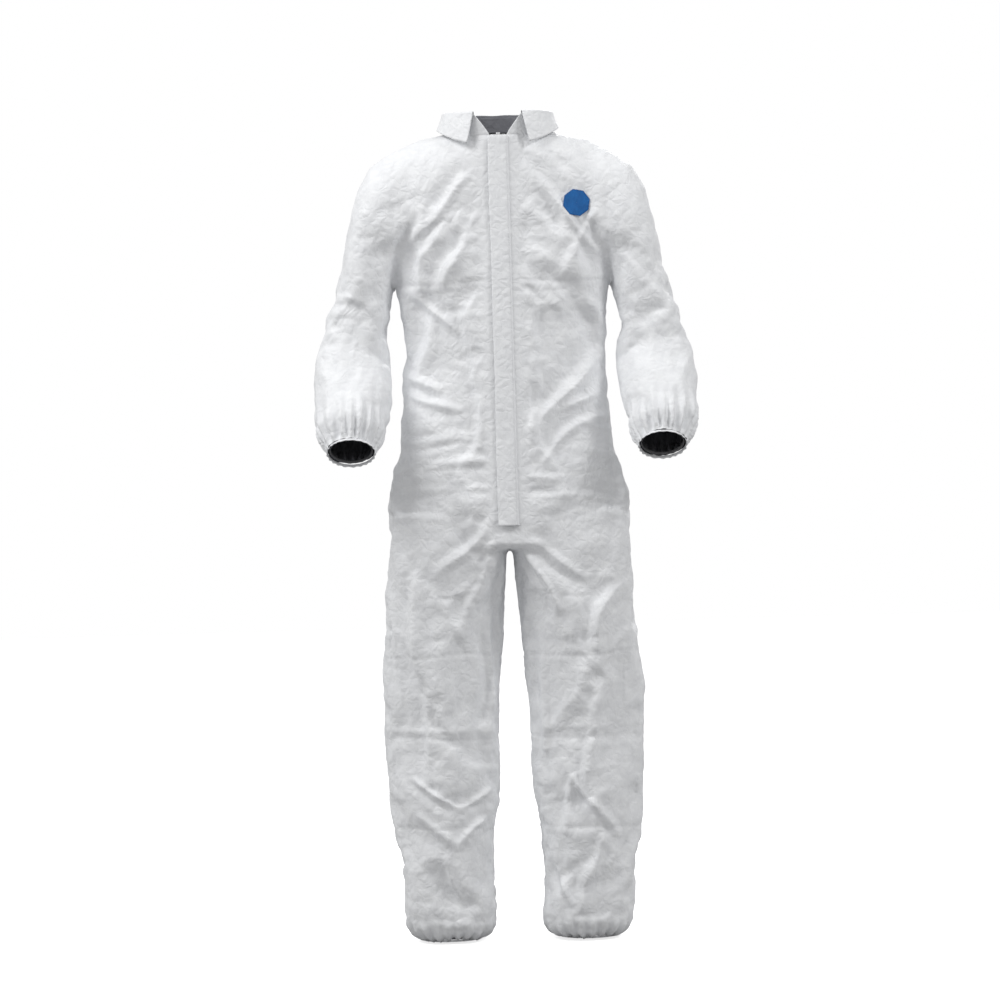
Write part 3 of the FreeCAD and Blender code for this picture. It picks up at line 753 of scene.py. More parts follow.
def spun_cloth(name, low, high):
    """Flash-spun sheet: swirled fibres, a fine embossed rib and paper-like wrinkles."""
    material, shader = new_material(name, high, 0.52)
    shader.inputs["Specular IOR Level"].default_value = 0.35
    shader.inputs["Sheen Weight"].default_value = 0.12
    shader.inputs["Sheen Roughness"].default_value = 0.4
    place_node = mottled(material, shader, low, high, 55.0)
    fibre_map = add_node(material, "ShaderNodeMapping")
    fibre_map.inputs["Scale"].default_value = (1.0, 1.0, 0.35)
    wire(material, place_node, "Object", fibre_map, "Vector")
    fibres = add_node(
        material, "ShaderNodeTexNoise", Scale=620.0, Detail=6.0, Roughness=0.7, Distortion=2.5
    )
    wire(material, fibre_map, "Vector", fibres, "Vector")
    wrinkles = add_node(material, "ShaderNodeTexVoronoi", Scale=62.0)
    wrinkles.feature = "DISTANCE_TO_EDGE"
    warp = add_node(material, "ShaderNodeTexNoise", Scale=24.0, Detail=3.0)
    mix = add_node(material, "ShaderNodeVectorMath")
    mix.operation = "MULTIPLY_ADD"
    mix.inputs[1].default_value = (0.03, 0.03, 0.03)
    wire(material, place_node, "Object", warp, "Vector")
    wire(material, warp, "Color", mix, 0)
    wire(material, place_node, "Object", mix, 2)
    wire(material, mix, "Vector", wrinkles, "Vector")
    rib = add_node(material, "ShaderNodeTexWave", Scale=95.0, Distortion=1.2, Detail=2.0)
    rib.bands_direction = "Z"
    wire(material, place_node, "Object", rib, "Vector")
    fine = bumped(material, fibres, "Fac", 0.35, 0.00025)
    ribbed = bumped(material, rib, "Fac", 0.18, 0.00020, fine)
    broad = bumped(material, wrinkles, "Distance", 0.75, 0.0026, ribbed)
    wire(material, broad, "Normal", shader, "Normal")
    rough = add_node(material, "ShaderNodeMapRange")
    rough.inputs["To Min"].default_value = 0.44
    rough.inputs["To Max"].default_value = 0.62
    wire(material, fibres, "Fac", rough, "Value")
    wire(material, rough, "Result", shader, "Roughness")
    return material


def woven(name, low, high, pitch):
    """Woven or knitted narrow fabric."""
    material, shader = new_material(name, high, 0.7)
    place_node = mottled(material, shader, low, high, 90.0)
    weave = add_node(material, "ShaderNodeTexWave", Scale=pitch, Distortion=0.4)
    weave.bands_direction = "DIAGONAL"
    wire(material, place_node, "Object", weave, "Vector")
    bump = bumped(material, weave, "Fac", 0.6, 0.0003)
    wire(material, bump, "Normal", shader, "Normal")
    return material


def moulded(name, low, high, roughness, metallic=0.0):
    """Small moulded or painted hardware, a little scuffed."""
    material, shader = new_material(name, high, roughness)
    shader.inputs["Metallic"].default_value = metallic
    place_node = mottled(material, shader, low, high, 400.0)
    scuffs = add_node(material, "ShaderNodeTexNoise", Scale=1500.0, Detail=4.0)
    wire(material, place_node, "Object", scuffs, "Vector")
    bump = bumped(material, scuffs, "Fac", 0.25, 0.0001)
    wire(material, bump, "Normal", shader, "Normal")
    return material


OUTSIDE = spun_cloth("cloth_outside", (0.84, 0.85, 0.87), (0.90, 0.91, 0.925))
# Painted shade: the suit's inside is the same white cloth as its outside. This dark grey stands in for
# the shade inside the suit, seen through the neck and the cuffs.
INSIDE_SHADE = spun_cloth("cloth_inside_shade", (0.125, 0.127, 0.142), (0.155, 0.158, 0.175))
THREAD = woven("thread", (0.78, 0.79, 0.81), (0.86, 0.87, 0.88), 900.0)
TAPE = woven("zipper_tape", (0.72, 0.73, 0.75), (0.84, 0.85, 0.86), 600.0)
RUBBER = woven("elastic", (0.16, 0.16, 0.17), (0.21, 0.21, 0.22), 500.0)
NYLON = moulded("zipper_nylon", (0.78, 0.79, 0.80), (0.86, 0.86, 0.87), 0.35)
ALLOWANCE = woven("seam_allowance", (0.70, 0.71, 0.73), (0.80, 0.81, 0.83), 700.0)
LABEL = woven("label_cloth", (0.76, 0.76, 0.76), (0.86, 0.86, 0.86), 1200.0)
BADGE = woven("badge_cloth", (0.004, 0.120, 0.400), (0.006, 0.155, 0.490), 1100.0)
BADGE_THREAD = woven("badge_thread", (0.004, 0.10, 0.34), (0.005, 0.14, 0.44), 2000.0)
METAL = moulded("slider_paint", (0.70, 0.70, 0.71), (0.82, 0.82, 0.83), 0.3, 0.2)


# --- regions of the skin -------------------------------------------------------------------

SIDES = {"left": 1, "right": -1}
PANELS = (
    "left_front_panel",
    "right_front_panel",
    "left_back_panel",
    "right_back_panel",
    "left_sleeve_cloth",
    "right_sleeve_cloth",
)


def divide(skin):
    """Cuts the skin along its seam lines and numbers each face with its panel."""
    shape = bmesh.new()
    shape.from_mesh(skin.data)
    planes = (
        ((0, 0, 0), (1, 0, 0)),
        ((0, 0, 0), (0, 1, 0)),
        ((ARMHOLE_X, 0, 0), (1, 0, 0)),
        ((-ARMHOLE_X, 0, 0), (1, 0, 0)),
    )
    for point, normal in planes:
        low = ARMPIT - ARMHOLE_CUT_BELOW - NECK if point[0] else -NECK - 1.0
        faces = [f for f in shape.faces if f.calc_center_median().z > low]
        edges = dict.fromkeys(e for f in faces for e in f.edges)
        corners = dict.fromkeys(v for f in faces for v in f.verts)
        bmesh.ops.bisect_plane(
            shape,
            geom=list(corners) + list(edges) + faces,
            dist=0.0018,
            plane_co=point,
            plane_no=normal,
            use_snap_center=True,
        )
    bmesh.ops.dissolve_degenerate(shape, edges=list(shape.edges), dist=0.0008)
    bmesh.ops.triangulate(shape, faces=[f for f in shape.faces if len(f.verts) > 4])
    for face in shape.faces:
        middle = face.calc_center_median()
        face.material_index = (0 if middle.y < 0.0 else 2) + (0 if middle.x > 0.0 else 1)
    for number, sign in ((4, 1), (5, -1)):
        wrist = Vector((WRIST.x * sign, WRIST.y, WRIST.z - NECK))
        seed = min(shape.faces, key=lambda f: (f.calc_center_median() - wrist).length)
        todo = [seed]
        seed.material_index = number
        while todo:
            face = todo.pop()
            for edge in face.edges:
                for other in edge.link_faces:
                    if other.material_index == number:
                        continue
                    if other.calc_center_median().x * sign > ARMHOLE_X:
                        other.material_index = number
                        todo.append(other)
    shape.to_mesh(skin.data)
    shape.free()
    for name in PANELS:
        skin.data.materials.append(bpy.data.materials.new(name))
    return skin


def borders(skin, first, second):
    """Chains of (place, normal) along the border between two groups of panels."""
    shape = bmesh.new()
    shape.from_mesh(skin.data)
    shape.normal_update()
    links = {}
    for edge in shape.edges:
        numbers = {f.material_index for f in edge.link_faces}
        if len(numbers) == 2 and numbers & first and numbers & second:
            a, b = edge.verts
            links.setdefault(a, []).append(b)
            links.setdefault(b, []).append(a)
    chains = []
    unused = set(links)
    while unused:
        ends = [v for v in unused if len([w for w in links[v] if w in unused]) == 1]
        start = max(ends or unused, key=lambda v: (round(v.co.z, 4), v.co.x, v.co.y, v.index))
        chain = [start]
        unused.discard(start)
        while True:
            following = [w for w in links[chain[-1]] if w in unused]
            if not following:
                break
            chain.append(min(following, key=lambda v: v.index))
            unused.discard(chain[-1])
        if not ends and len(chain) > 2:
            chain.append(start)
        if len(chain) > 8:
            chains.append([(v.co.copy(), v.normal.copy()) for v in chain])
    shape.free()
    return chains


# --- panels and seams ----------------------------------------------------------------------


def finished(piece, *materials):
    """Adds materials and smooth shading."""
    for material in materials:
        piece.data.materials.append(material)
    shade_smooth(piece)
    return piece


def thickened(piece, thickness, inside_shaded=False):
    """Gives a sheet its thickness; with the flag set, the inner side takes the second material, the dark
    grey that paints the shade inside the suit.
    """
    solid = piece.modifiers.new("thickness", "SOLIDIFY")
    solid.thickness = thickness
    solid.offset = -1.0
    if inside_shaded:
        solid.material_offset = 1
    applied(piece)
    shade_smooth(piece)
    return piece


def cloth_area(piece):
    """Area of a sheet as modelled, before it gets its thickness."""
    return sum(f.area for f in piece.data.polygons)


def panel(skin, number):
    """The cloth of one panel, white outside, its inner side dark grey as painted shade."""
    shape = bmesh.new()
    shape.from_mesh(skin.data)
    index_layer = shape.verts.layers.int.new("index")
    for vertex in shape.verts:
        vertex[index_layer] = vertex.index
    vertex_normals = [v.normal.copy() for v in skin.data.vertices]
    other = [f for f in shape.faces if f.material_index != number]
    bmesh.ops.delete(shape, geom=other, context="FACES")
    if number < 2:
        inward = []
        for face in shape.faces:
            middle = face.calc_center_median()
            if middle.z + NECK > ZIP_LOW and abs(middle.x) < ZIP_EDGE:
                inward.append(face)
        bmesh.ops.delete(shape, geom=inward, context="FACES")
    for face in shape.faces:
        face.material_index = 0
    normals = [vertex_normals[v[index_layer]] for v in shape.verts]
    mesh = bpy.data.meshes.new(PANELS[number])
    shape.to_mesh(mesh)
    shape.free()
    piece = linked(PANELS[number], mesh)
    # The second material, for the inner side, is dark grey painted shade.
    for material in (OUTSIDE, INSIDE_SHADE):
        mesh.materials.append(material)
    area = cloth_area(piece)
    thickened(piece, CLOTH, inside_shaded=True)
    normals += [-n for n in normals]
    if len(normals) == len(piece.data.vertices):
        piece.data.normals_split_custom_set_from_vertices([tuple(n) for n in normals])
    return piece, area


def ribbon(name, chain):
    """Seam allowance standing inward from a chain of (place, normal)."""
    points, faces = [], []
    places = [p for p, _ in chain]
    for index, (place_here, normal) in enumerate(chain):
        ahead = places[min(index + 1, len(places) - 1)] - places[max(index - 1, 0)]
        aside = ahead.cross(normal)
        aside = aside.normalized() if aside.length > 1e-9 else Vector((0, 0, 0))
        sway = SEAM_WAVE * math.sin(index * 0.9) + 0.5 * SEAM_WAVE * math.sin(index * 2.1 + 1.0)
        middle = (SEAM_NEAR + SEAM_FAR) / 2.0
        for depth, share in ((SEAM_NEAR, 0.0), (middle, 0.6), (SEAM_FAR, 1.0)):
            points.append(place_here - normal * depth + aside * sway * share)
    for index in range(len(chain) - 1):
        for row in range(2):
            low = index * 3 + row
            faces.append((low, low + 1, low + 4, low + 3))
    piece = finished(mesh_object(name, points, faces), ALLOWANCE)
    solid = piece.modifiers.new("thickness", "SOLIDIFY")
    solid.thickness = SEAM_THICKNESS
    solid.offset = 0.0
    applied(piece)
    shade_smooth(piece)
    return piece


def tube(name, paths, radius, material, sides=6):
    """One mesh of round threads along several paths, in frame metres."""
    points, faces = [], []
    for path in paths:
        start = len(points)
        count = len(path)
        previous = None
        for index, here in enumerate(path):
            ahead = path[min(index + 1, count - 1)] - path[max(index - 1, 0)]
            ahead = ahead.normalized() if ahead.length > 1e-9 else Vector((0, 0, 1))
            if previous is None:
                first = ahead.orthogonal().normalized()
            else:
                first = (previous - ahead * previous.dot(ahead)).normalized()
            previous = first
            second = ahead.cross(first)
            for step in range(sides):
                turn = 2.0 * math.pi * step / sides
                points.append(here + (first * math.cos(turn) + second * math.sin(turn)) * radius)
        for index in range(count - 1):
            for step in range(sides):
                after = (step + 1) % sides
                low = start + index * sides
                faces.append((low + step, low + after, low + sides + after, low + sides + step))
        faces.append(tuple(start + s for s in reversed(range(sides))))
        faces.append(tuple(start + (count - 1) * sides + s for s in range(sides)))
    return finished(mesh_object(name, points, faces), material)


def resampled(path, step):
    """Points at even distances along a path."""
    out = [path[0]]
    carried = 0.0
    for a, b in zip(path, path[1:]):
        length = (b - a).length
        while carried + length >= step and length > 1e-9:
            a = a + (b - a) * ((step - carried) / length)
            length = (b - a).length
            out.append(a)
            carried = 0.0
        carried += length
    return out


def stitches(path, length=0.0024, pitch=0.0036):
    """Short dashes of thread along a path."""
    points = resampled(path, pitch)
    dashes = []
    for a, b in zip(points, points[1:]):
        direction = (b - a).normalized()
        dashes.append([a, a + direction * length])
    return dashes


def zigzag(path, across, step, width):
    """Overlock thread: points that swing across a path."""
    points = resampled(path, step)
    swing = []
    for index, here in enumerate(points):
        swing.append(here + across(here) * (width if index % 2 else -width))
    return swing


def follow_leg(piece):
    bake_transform(piece)


def follow_sleeve(piece):
    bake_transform(piece)


def make_panels(skin):
    """Fronts and backs, each one cut from shoulder to ankle, and the sleeves."""
    for number, name in enumerate(PANELS):
        piece, area = panel(skin, number)
        side, kind, _ = name.split("_")
        if kind == "sleeve":
            follow_sleeve(piece)
            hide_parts(f"{side}_sleeve")
        else:
            follow_leg(piece)
            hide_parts(f"{side}_{kind}_body", f"{side}_{kind}_leg")


def make_seams(skin):
    """Seam allowances, which stand inward from each sewn line."""
    for side, number in (("left", 0), ("right", 1)):
        chains = borders(skin, {number}, {number + 2})
        for chain in chains:
            top = max(p.z for p, _ in chain) + NECK
            middle = sum(abs(p.x) for p, _ in chain) / len(chain)
            if top > ARMPIT + 0.05:
                make_seam(f"{side}_shoulder_seam", chain, "torso")
            elif middle > ANKLE_X:
                upper = [c for c in chain if c[0].z + NECK > CROTCH]
                lower = [c for c in chain if c[0].z + NECK < CROTCH + 0.006]
                make_seam(f"{side}_side_seam", upper, "torso")
                make_seam(f"{side}_outer_leg_seam", lower, side)
            else:
                make_seam(f"{side}_inner_leg_seam", chain, side)
        armhole = max(borders(skin, {number, number + 2}, {number + 4}), key=len)
        make_seam(f"{side}_armhole_seam", armhole, "torso")
        make_seam(f"{side}_underarm_seam", underarm(skin, SIDES[side]), f"{side}_sleeve")
    backs = max(borders(skin, {2}, {3}), key=len)
    make_seam("centre_back_seam", backs, "torso")
    rise = [c for chain in borders(skin, {0}, {1}) for c in chain if c[0].z + NECK < ZIP_LOW]
    if len(rise) > 3:
        attach(ribbon("front_rise_seam_cloth", rise), "torso")


def make_seam(node, chain, follows):
    if len(chain) < 3:
        return
    piece = ribbon(node + "_cloth", chain)
    if follows in SIDES:
        follow_leg(piece)
    elif follows.endswith("_sleeve"):
        follow_sleeve(piece)
    else:
        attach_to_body(piece, follows)
    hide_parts(node)


def nearest(skin, place_at):
    """Closest place on the skin and its normal, from garment heights."""
    found, here, normal, _ = skin.closest_point_on_mesh(Vector(place_at) - Vector((0, 0, NECK)))
    return here, normal


def underarm(skin, sign):
    """The line under the arm, from the armpit to the cuff."""
    rows = [Vector(((ARMHOLE_X + 0.002) * sign, 0.0, ARMPIT - 0.004))]
    rows += [
        Vector((0.219 * sign, -0.005, 1.245)),
        Vector((0.225 * sign, -0.008, 1.215)),
        Vector((0.229 * sign, -0.014, 1.175)),
        Vector((0.229 * sign, -0.030, 1.120)),
        Vector((0.230 * sign, -0.062, 1.075)),
        Vector((0.231 * sign, -0.098, 1.025)),
        Vector((0.240 * sign, -0.132, 0.978)),
    ]
    return [nearest(skin, p) for p in resampled(rows, 0.005)]


# --- collar --------------------------------------------------------------------------------

# Rows of the collar: half width, height, depth, rise, half gap at the front, front drop
STAND_ROWS = (
    (0.0970, 1.5595, 0.0720, 0.16, 0.014, 0.0),
    (0.0985, 1.5710, 0.0730, 0.13, 0.022, 0.0),
    (0.1005, 1.5840, 0.0745, 0.10, 0.033, 0.0),
    (0.1030, 1.5980, 0.0760, 0.06, 0.046, 0.0),
)
LEAF_ROWS = (
    (0.1032, 1.5980, 0.0762, 0.06, 0.0455, 0.0),
    (0.1040, 1.6008, 0.0770, 0.06, 0.0460, 0.0),
    (0.1056, 1.6022, 0.0786, 0.06, 0.0465, 0.0),
    (0.1074, 1.6006, 0.0804, 0.06, 0.0470, 0.0),
    (0.1090, 1.5950, 0.0822, 0.07, 0.0485, 0.003),
    (0.1118, 1.5865, 0.0858, 0.09, 0.0520, 0.011),
    (0.1150, 1.5785, 0.0892, 0.11, 0.0560, 0.020),
    (0.1180, 1.5705, 0.0930, 0.13, 0.0610, 0.030),
)
COLLAR_STEPS = 260
# Rows of the leaf where it rolls over from the stand; they take the dark grey of the inside, painted
# shade, on both sides
ROLL_ROWS = 7
ROWS_BETWEEN = 4
# Rows counted back from the leaf's free edge that carry a line of stitches
STITCHED_ROWS = (3, 16)
LEAF_THICKNESS = 0.0008
ROUND_OUTLINE = 2.2


def collar_row(row):
    """Points round the neck, from the left front corner round the back to the right one."""
    half, height, depth, rise, gap, drop = row
    start = math.asin((gap / half) ** (ROUND_OUTLINE / 2.0)) - math.pi / 2.0
    points = []
    for step in range(COLLAR_STEPS + 1):
        turn = start + (math.pi - 2.0 * (start + math.pi / 2.0) + math.pi) * step / COLLAR_STEPS
        side = math.copysign(abs(math.cos(turn)) ** (2.0 / ROUND_OUTLINE), math.cos(turn))
        deep = math.copysign(abs(math.sin(turn)) ** (2.0 / ROUND_OUTLINE), math.sin(turn))
        low = drop * max(0.0, -deep) ** 2
        points.append((half * side, NECK_Y + depth * deep, height + depth * rise * deep - low))
    return points


def dense_rows(rows):
    """Rows with more of them in between."""
    out = []
    for first, second in zip(rows, rows[1:]):
        for part in range(ROWS_BETWEEN):
            share = part / ROWS_BETWEEN
            pairs = zip(first, second)
            out.append([tuple(a + (b - a) * share for a, b in zip(p, q)) for p, q in pairs])
    out.append(rows[-1])
    return out


def grid_sheet(name, rows, closed=False):
    """Sheet through rows of points; its normals face the way the rows' order gives."""
    wide = len(rows[0])
    faces = []
    for row in range(len(rows) - 1):
        for step in range(wide if closed else wide - 1):
            after = (step + 1) % wide
            low = row * wide
            faces.append((low + step, low + after, low + wide + after, low + wide + step))
    return new_object(name, [p for row in rows for p in row], faces)


def rumpled(piece, size, depth, seed):
    """Small waves and creases over a piece."""
    points, normals = coordinates(piece.data)
    shift = depth * (0.7 * waves(points, size, seed) + 1.4 * crumple(points, (size * 0.5,) * 3, seed))
    place(piece.data, points + normals * shift[:, None])


def row_path(piece, start, count, lift):
    """One row of a grid sheet as a path a little above it."""
    vertices = piece.data.vertices
    return [vertices[i].co + vertices[i].normal * lift for i in range(start, start + count)]


def make_collar():
    """Stand round the neck and the leaf that rolls over it, with edge stitching."""
    count = COLLAR_STEPS + 1
    stand = grid_sheet("collar_stand_cloth", dense_rows([collar_row(r) for r in STAND_ROWS]))
    rumpled(stand, 0.05, 0.0004, 51)
    finished(stand, OUTSIDE, INSIDE_SHADE)
    # The stand's inner side is dark grey painted shade.
    thickened(stand, TWO_PLY, inside_shaded=True)
    attach(stand, "torso", "collar_stand")
    rows = dense_rows([collar_row(r) for r in LEAF_ROWS])
    leaf = grid_sheet("collar_leaf_cloth", rows)
    rumpled(leaf, 0.05, 0.0007, 52)
    starts = [(len(rows) - 1 - back) * count for back in STITCHED_ROWS]
    paths = [row_path(leaf, start, count, 0.0002) for start in starts]
    finished(leaf, OUTSIDE, INSIDE_SHADE)
    # The rows of the roll are painted dark grey as shade.
    for number, face in enumerate(leaf.data.polygons):
        face.material_index = 1 if number < ROLL_ROWS * COLLAR_STEPS else 0
    thickened(leaf, LEAF_THICKNESS)
    attach(leaf, "torso", "collar_leaf")
    dashes = [dash for path in paths for dash in stitches(path)]
    attach(tube("collar_stitches", dashes, THREAD_RADIUS, THREAD, 5), "torso")


# --- storm flap and zipper -----------------------------------------------------------------

LEAN = math.atan2(FRONT_AT_CROTCH - FRONT_AT_TOP, FRONT_TOP - CROTCH)


def on_front(x, out, height):
    """Place at a distance outward from the centre front line, in garment heights."""
    return (x, front_y(height) - out * math.cos(LEAN), height + out * math.sin(LEAN))


FLAP_SECTION = (
    (0.0212, 0.0006),
    (0.0202, 0.0010),
    (0.0188, 0.0034),
    (0.0172, 0.0058),
    (0.0150, 0.0070),
    (0.0110, 0.0075),
    (0.0060, 0.0077),
    (0.0000, 0.0078),
    (-0.0060, 0.0077),
    (-0.0110, 0.0076),
    (-0.0160, 0.0075),
    (-0.0192, 0.0072),
    (-0.0204, 0.0066),
)


FLAP_STEPS = 300
# The point of the section that carries the flap's line of stitches
FLAP_SEWN_AT = 4


def make_flap():
    """Two-ply strip over the zipper, sewn along the wearer's left edge."""
    rows = []
    for step in range(FLAP_STEPS + 1):
        height = FLAP_LOW + (FLAP_TOP - FLAP_LOW) * step / FLAP_STEPS
        rows.append([on_front(x, out, height) for x, out in FLAP_SECTION])
    flap = grid_sheet("storm_flap_cloth", rows)
    points, normals = coordinates(flap.data)
    loose = smooth(0.018, -0.018, points[:, 0])
    low = smooth(1.10, 0.80, points[:, 2])
    slanted = points + np.stack([points[:, 2] * 0, points[:, 0], points[:, 0] * 0.9], 1)
    shift = 0.0006 * waves(points, 0.11, 61) * loose
    deep = 0.0006 + 0.0010 * low
    unsewn = smooth(0.019, 0.012, points[:, 0])
    shift += deep * crumple(slanted, (0.05, 0.05, 0.022), 62) * unsewn
    points[:, 1] -= np.clip(shift, -0.0011, 0.0016)
    points[:, 0] += 0.0007 * waves(points, 0.16, 63) * loose
    place(flap.data, points)
    count = len(FLAP_SECTION)
    sewn = [flap.data.vertices[r * count + FLAP_SEWN_AT].co for r in range(1, FLAP_STEPS)]
    path = [place_here + Vector((0, -0.0001, 0)) for place_here in sewn]
    finished(flap, OUTSIDE)
    facing_front(flap)
    thickened(flap, TWO_PLY)
    attach(flap, "storm_flap", "storm_flap")
    sewing = tube("flap_stitches", stitches(path), THREAD_RADIUS, THREAD, 5)
    attach(sewing, "storm_flap")


TAPE_STEPS = 120
TAPE_TAIL = 0.012
TAPE_ACROSS = (0.0006, 0.0036, 0.007, 0.011, 0.0148)
TAPE_OUT = -0.0021
COIL_PITCH = 0.0019
COIL_STEPS = 8
COIL_WIRE = 0.0003


def make_zipper():
    """Woven tapes with real coils; slider, tab and stops keep their own shapes."""
    for side, sign in SIDES.items():
        rows = []
        for step in range(TAPE_STEPS + 1):
            height = ZIP_LOW - TAPE_TAIL + (ZIP_TOP - ZIP_LOW + TAPE_TAIL) * step / TAPE_STEPS
            rows.append([on_front(x * sign, TAPE_OUT, height) for x in TAPE_ACROSS[::sign]])
        tape = grid_sheet(f"{side}_zipper_tape_cloth", rows)
        finished(tape, TAPE)
        thickened(tape, 0.0005)
        attach(tape, "torso", f"{side}_zipper_tape")
        turns = int((ZIP_TOP - ZIP_LOW - 0.004) / COIL_PITCH)
        path = []
        for step in range(turns * COIL_STEPS + 1):
            angle = 2.0 * math.pi * step / COIL_STEPS + (0.0 if sign > 0 else math.pi)
            x = 0.0018 + 0.0011 * math.cos(angle)
            out = -0.0010 + 0.0008 * math.sin(angle)
            place_here = on_front(x * sign, out, ZIP_LOW + COIL_PITCH * step / COIL_STEPS)
            path.append(Vector(place_here) - Vector((0, 0, NECK)))
        coil = tube(f"{side}_zipper_loops", [path], COIL_WIRE, NYLON, 5)
        attach(coil, "torso", f"{side}_zipper_coil")
    for name in ("zipper_slider", "zipper_pull_tab"):
        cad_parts[name].material_slots[0].material = METAL
    for name in ("zipper_top_stops", "zipper_bottom_stop"):
        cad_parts[name].material_slots[0].material = NYLON


# --- cuffs, hems and elastic ----------------------------------------------------------------


def round_wrist(sign, radius, along, turn):
    """Place on a circle round a cuff's axis, in garment heights."""
    deep = Vector((0.0, math.cos(WRIST_TILT), -math.sin(WRIST_TILT)))
    centre = Vector((WRIST.x * sign, WRIST.y, WRIST.z)) + WRIST_AXIS * along
    return centre + (Vector((math.cos(turn), 0, 0)) + deep * math.sin(turn)) * radius


def round_ankle(sign, radius, height, turn):
    return Vector((ANKLE_X * sign + radius * math.cos(turn), radius * math.sin(turn), height))


FRILL_STEPS = 288
# Rings of the cuffs: radius, then distance along the arm or height above the leg's hem
WRIST_HEM = ((0.0449, -0.0004), (0.0451, 0.0015), (0.0456, 0.0032), (0.0462, 0.0050))
WRIST_BAND = (
    (0.0408, -0.0062),
    (0.0406, -0.0045),
    (0.0408, -0.0030),
    (0.0406, -0.0015),
    (0.0408, -0.0003),
)
ANKLE_HEM = ((0.0579, 0.0042), (0.0580, 0.0026), (0.0590, 0.0012), (0.0610, 0.0008))
ANKLE_BAND = ((0.0586, 0.0050), (0.0584, 0.0070), (0.0586, 0.0090), (0.0584, 0.0108))


def frill(name, at, rows, lobes, swell, seed):
    """Gathered ring: rows of (radius, along), with pleats that grow outward."""
    turns = [2.0 * math.pi * step / FRILL_STEPS for step in range(FRILL_STEPS)]
    pleat = gathers(np.asarray(turns), lobes, seed)
    points = []
    for index, (radius, along) in enumerate(rows):
        grow = swell * index / (len(rows) - 1)
        points.append([at(radius + grow * p, along + 0.3 * grow * p, t) for t, p in zip(turns, pleat)])
    piece = grid_sheet(name, points, closed=True)
    middle = sum((v.co for v in piece.data.vertices), Vector()) / len(piece.data.vertices)
    face = piece.data.polygons[0]
    if face.normal.dot(face.center - middle) < 0.0:
        piece.data.flip_normals()
    return piece


def make_hem(name, at, rows, lobes, swell, seed, body, flat, rests_on):
    """Gathered strip beyond the elastic; gives back its outer edge."""
    hem = frill(f"{name}_cloth", at, rows, lobes, swell, seed)
    edge = row_path(hem, (len(rows) - 1) * FRILL_STEPS, FRILL_STEPS, 0.0)
    finished(hem, OUTSIDE)
    thickened(hem, CLOTH)
    attach(hem, body, name)
    return edge


def make_band(name, at, rows, lobes, seed, body):
    """Elastic inside a cuff."""
    band = finished(frill(f"{name}_band", at, rows, lobes, BAND_SWELL, seed), RUBBER)
    thickened(band, BAND_THICKNESS)
    attach(band, body, name)


def make_cuffs():
    """Frilled hems beyond the elastic, the overlocked edges of the wrist hems, and the elastic itself.
    """
    for side, sign in SIDES.items():
        arm = (f"{side}_sleeve", (0.42, 0.0105), f"{side}_sleeve_cloth")
        leg = (f"{side}_leg", (0.55, 0.0105), f"{side}_front_panel")
        at = partial(round_wrist, sign)
        edge = make_hem(f"{side}_wrist_hem", at, WRIST_HEM, 21, 0.0010, 71 + sign, *arm)
        loops = zigzag(edge + edge[:1], lambda here: WRIST_AXIS, 0.0009, 0.0006)
        thread = tube(f"{side}_wrist_overlock", [loops], THREAD_RADIUS, THREAD, 4)
        attach(thread, arm[0])
        make_band(f"{side}_wrist_elastic", at, WRIST_BAND, 30, 73, arm[0])
        at = partial(round_ankle, sign)
        make_hem(f"{side}_ankle_hem", at, ANKLE_HEM, 19, 0.0006, 75 + sign, *leg)
        make_band(f"{side}_ankle_elastic", at, ANKLE_BAND, 32, 77, leg[0])


# --- pieces that lie on the cloth -----------------------------------------------------------


# Where a ray along Y starts: in front of the suit, or inside it
AHEAD = -0.4
WITHIN = 0.0
BADGE_RINGS = 12
BADGE_SIDE_STEPS = 10
LABEL_ROWS = 12
LABEL_COLUMNS = 16
WAIST_HEIGHT = 1.095


def laid_on(skin, name, rows, start_y, lift):
    """Sheet whose points are thrown onto the skin along Y; rows hold (x, height)."""
    points = []
    for row in rows:
        out = []
        for x, height in row:
            origin = Vector((x, start_y, height - NECK))
            hit, here, normal, _ = skin.ray_cast(origin, Vector((0, 1, 0)))
            out.append((here.x, here.y + lift, here.z + NECK))
        points.append(out)
    return grid_sheet(name, points)


def make_waist_elastic(skin):
    """Gathered elastic inside the back of the waist."""
    rows = []
    for step in range(5):
        height = WAIST_HEIGHT + 0.0025 * step
        rows.append([(-0.148 + 0.004 * k, height) for k in range(75)])
    band = laid_on(skin, "back_waist_elastic_band", rows, WITHIN, -0.0016)
    finished(band, RUBBER)
    thickened(band, BAND_THICKNESS)
    attach(band, "torso", "back_waist_elastic")


def make_label(skin):
    """Blank size label inside the back of the neck."""
    low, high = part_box("neck_size_label")
    rows = []
    for step in range(LABEL_ROWS + 1):
        height = NECK + low[2] + (high[2] - low[2]) * step / LABEL_ROWS
        across = [low[0] + (high[0] - low[0]) * k / LABEL_COLUMNS for k in range(LABEL_COLUMNS + 1)]
        rows.append([(x, height) for x in across])
    label = laid_on(skin, "neck_size_label_cloth", rows, WITHIN, -0.0018)
    finished(label, LABEL)
    thickened(label, CLOTH)
    attach(label, "torso", "neck_size_label")


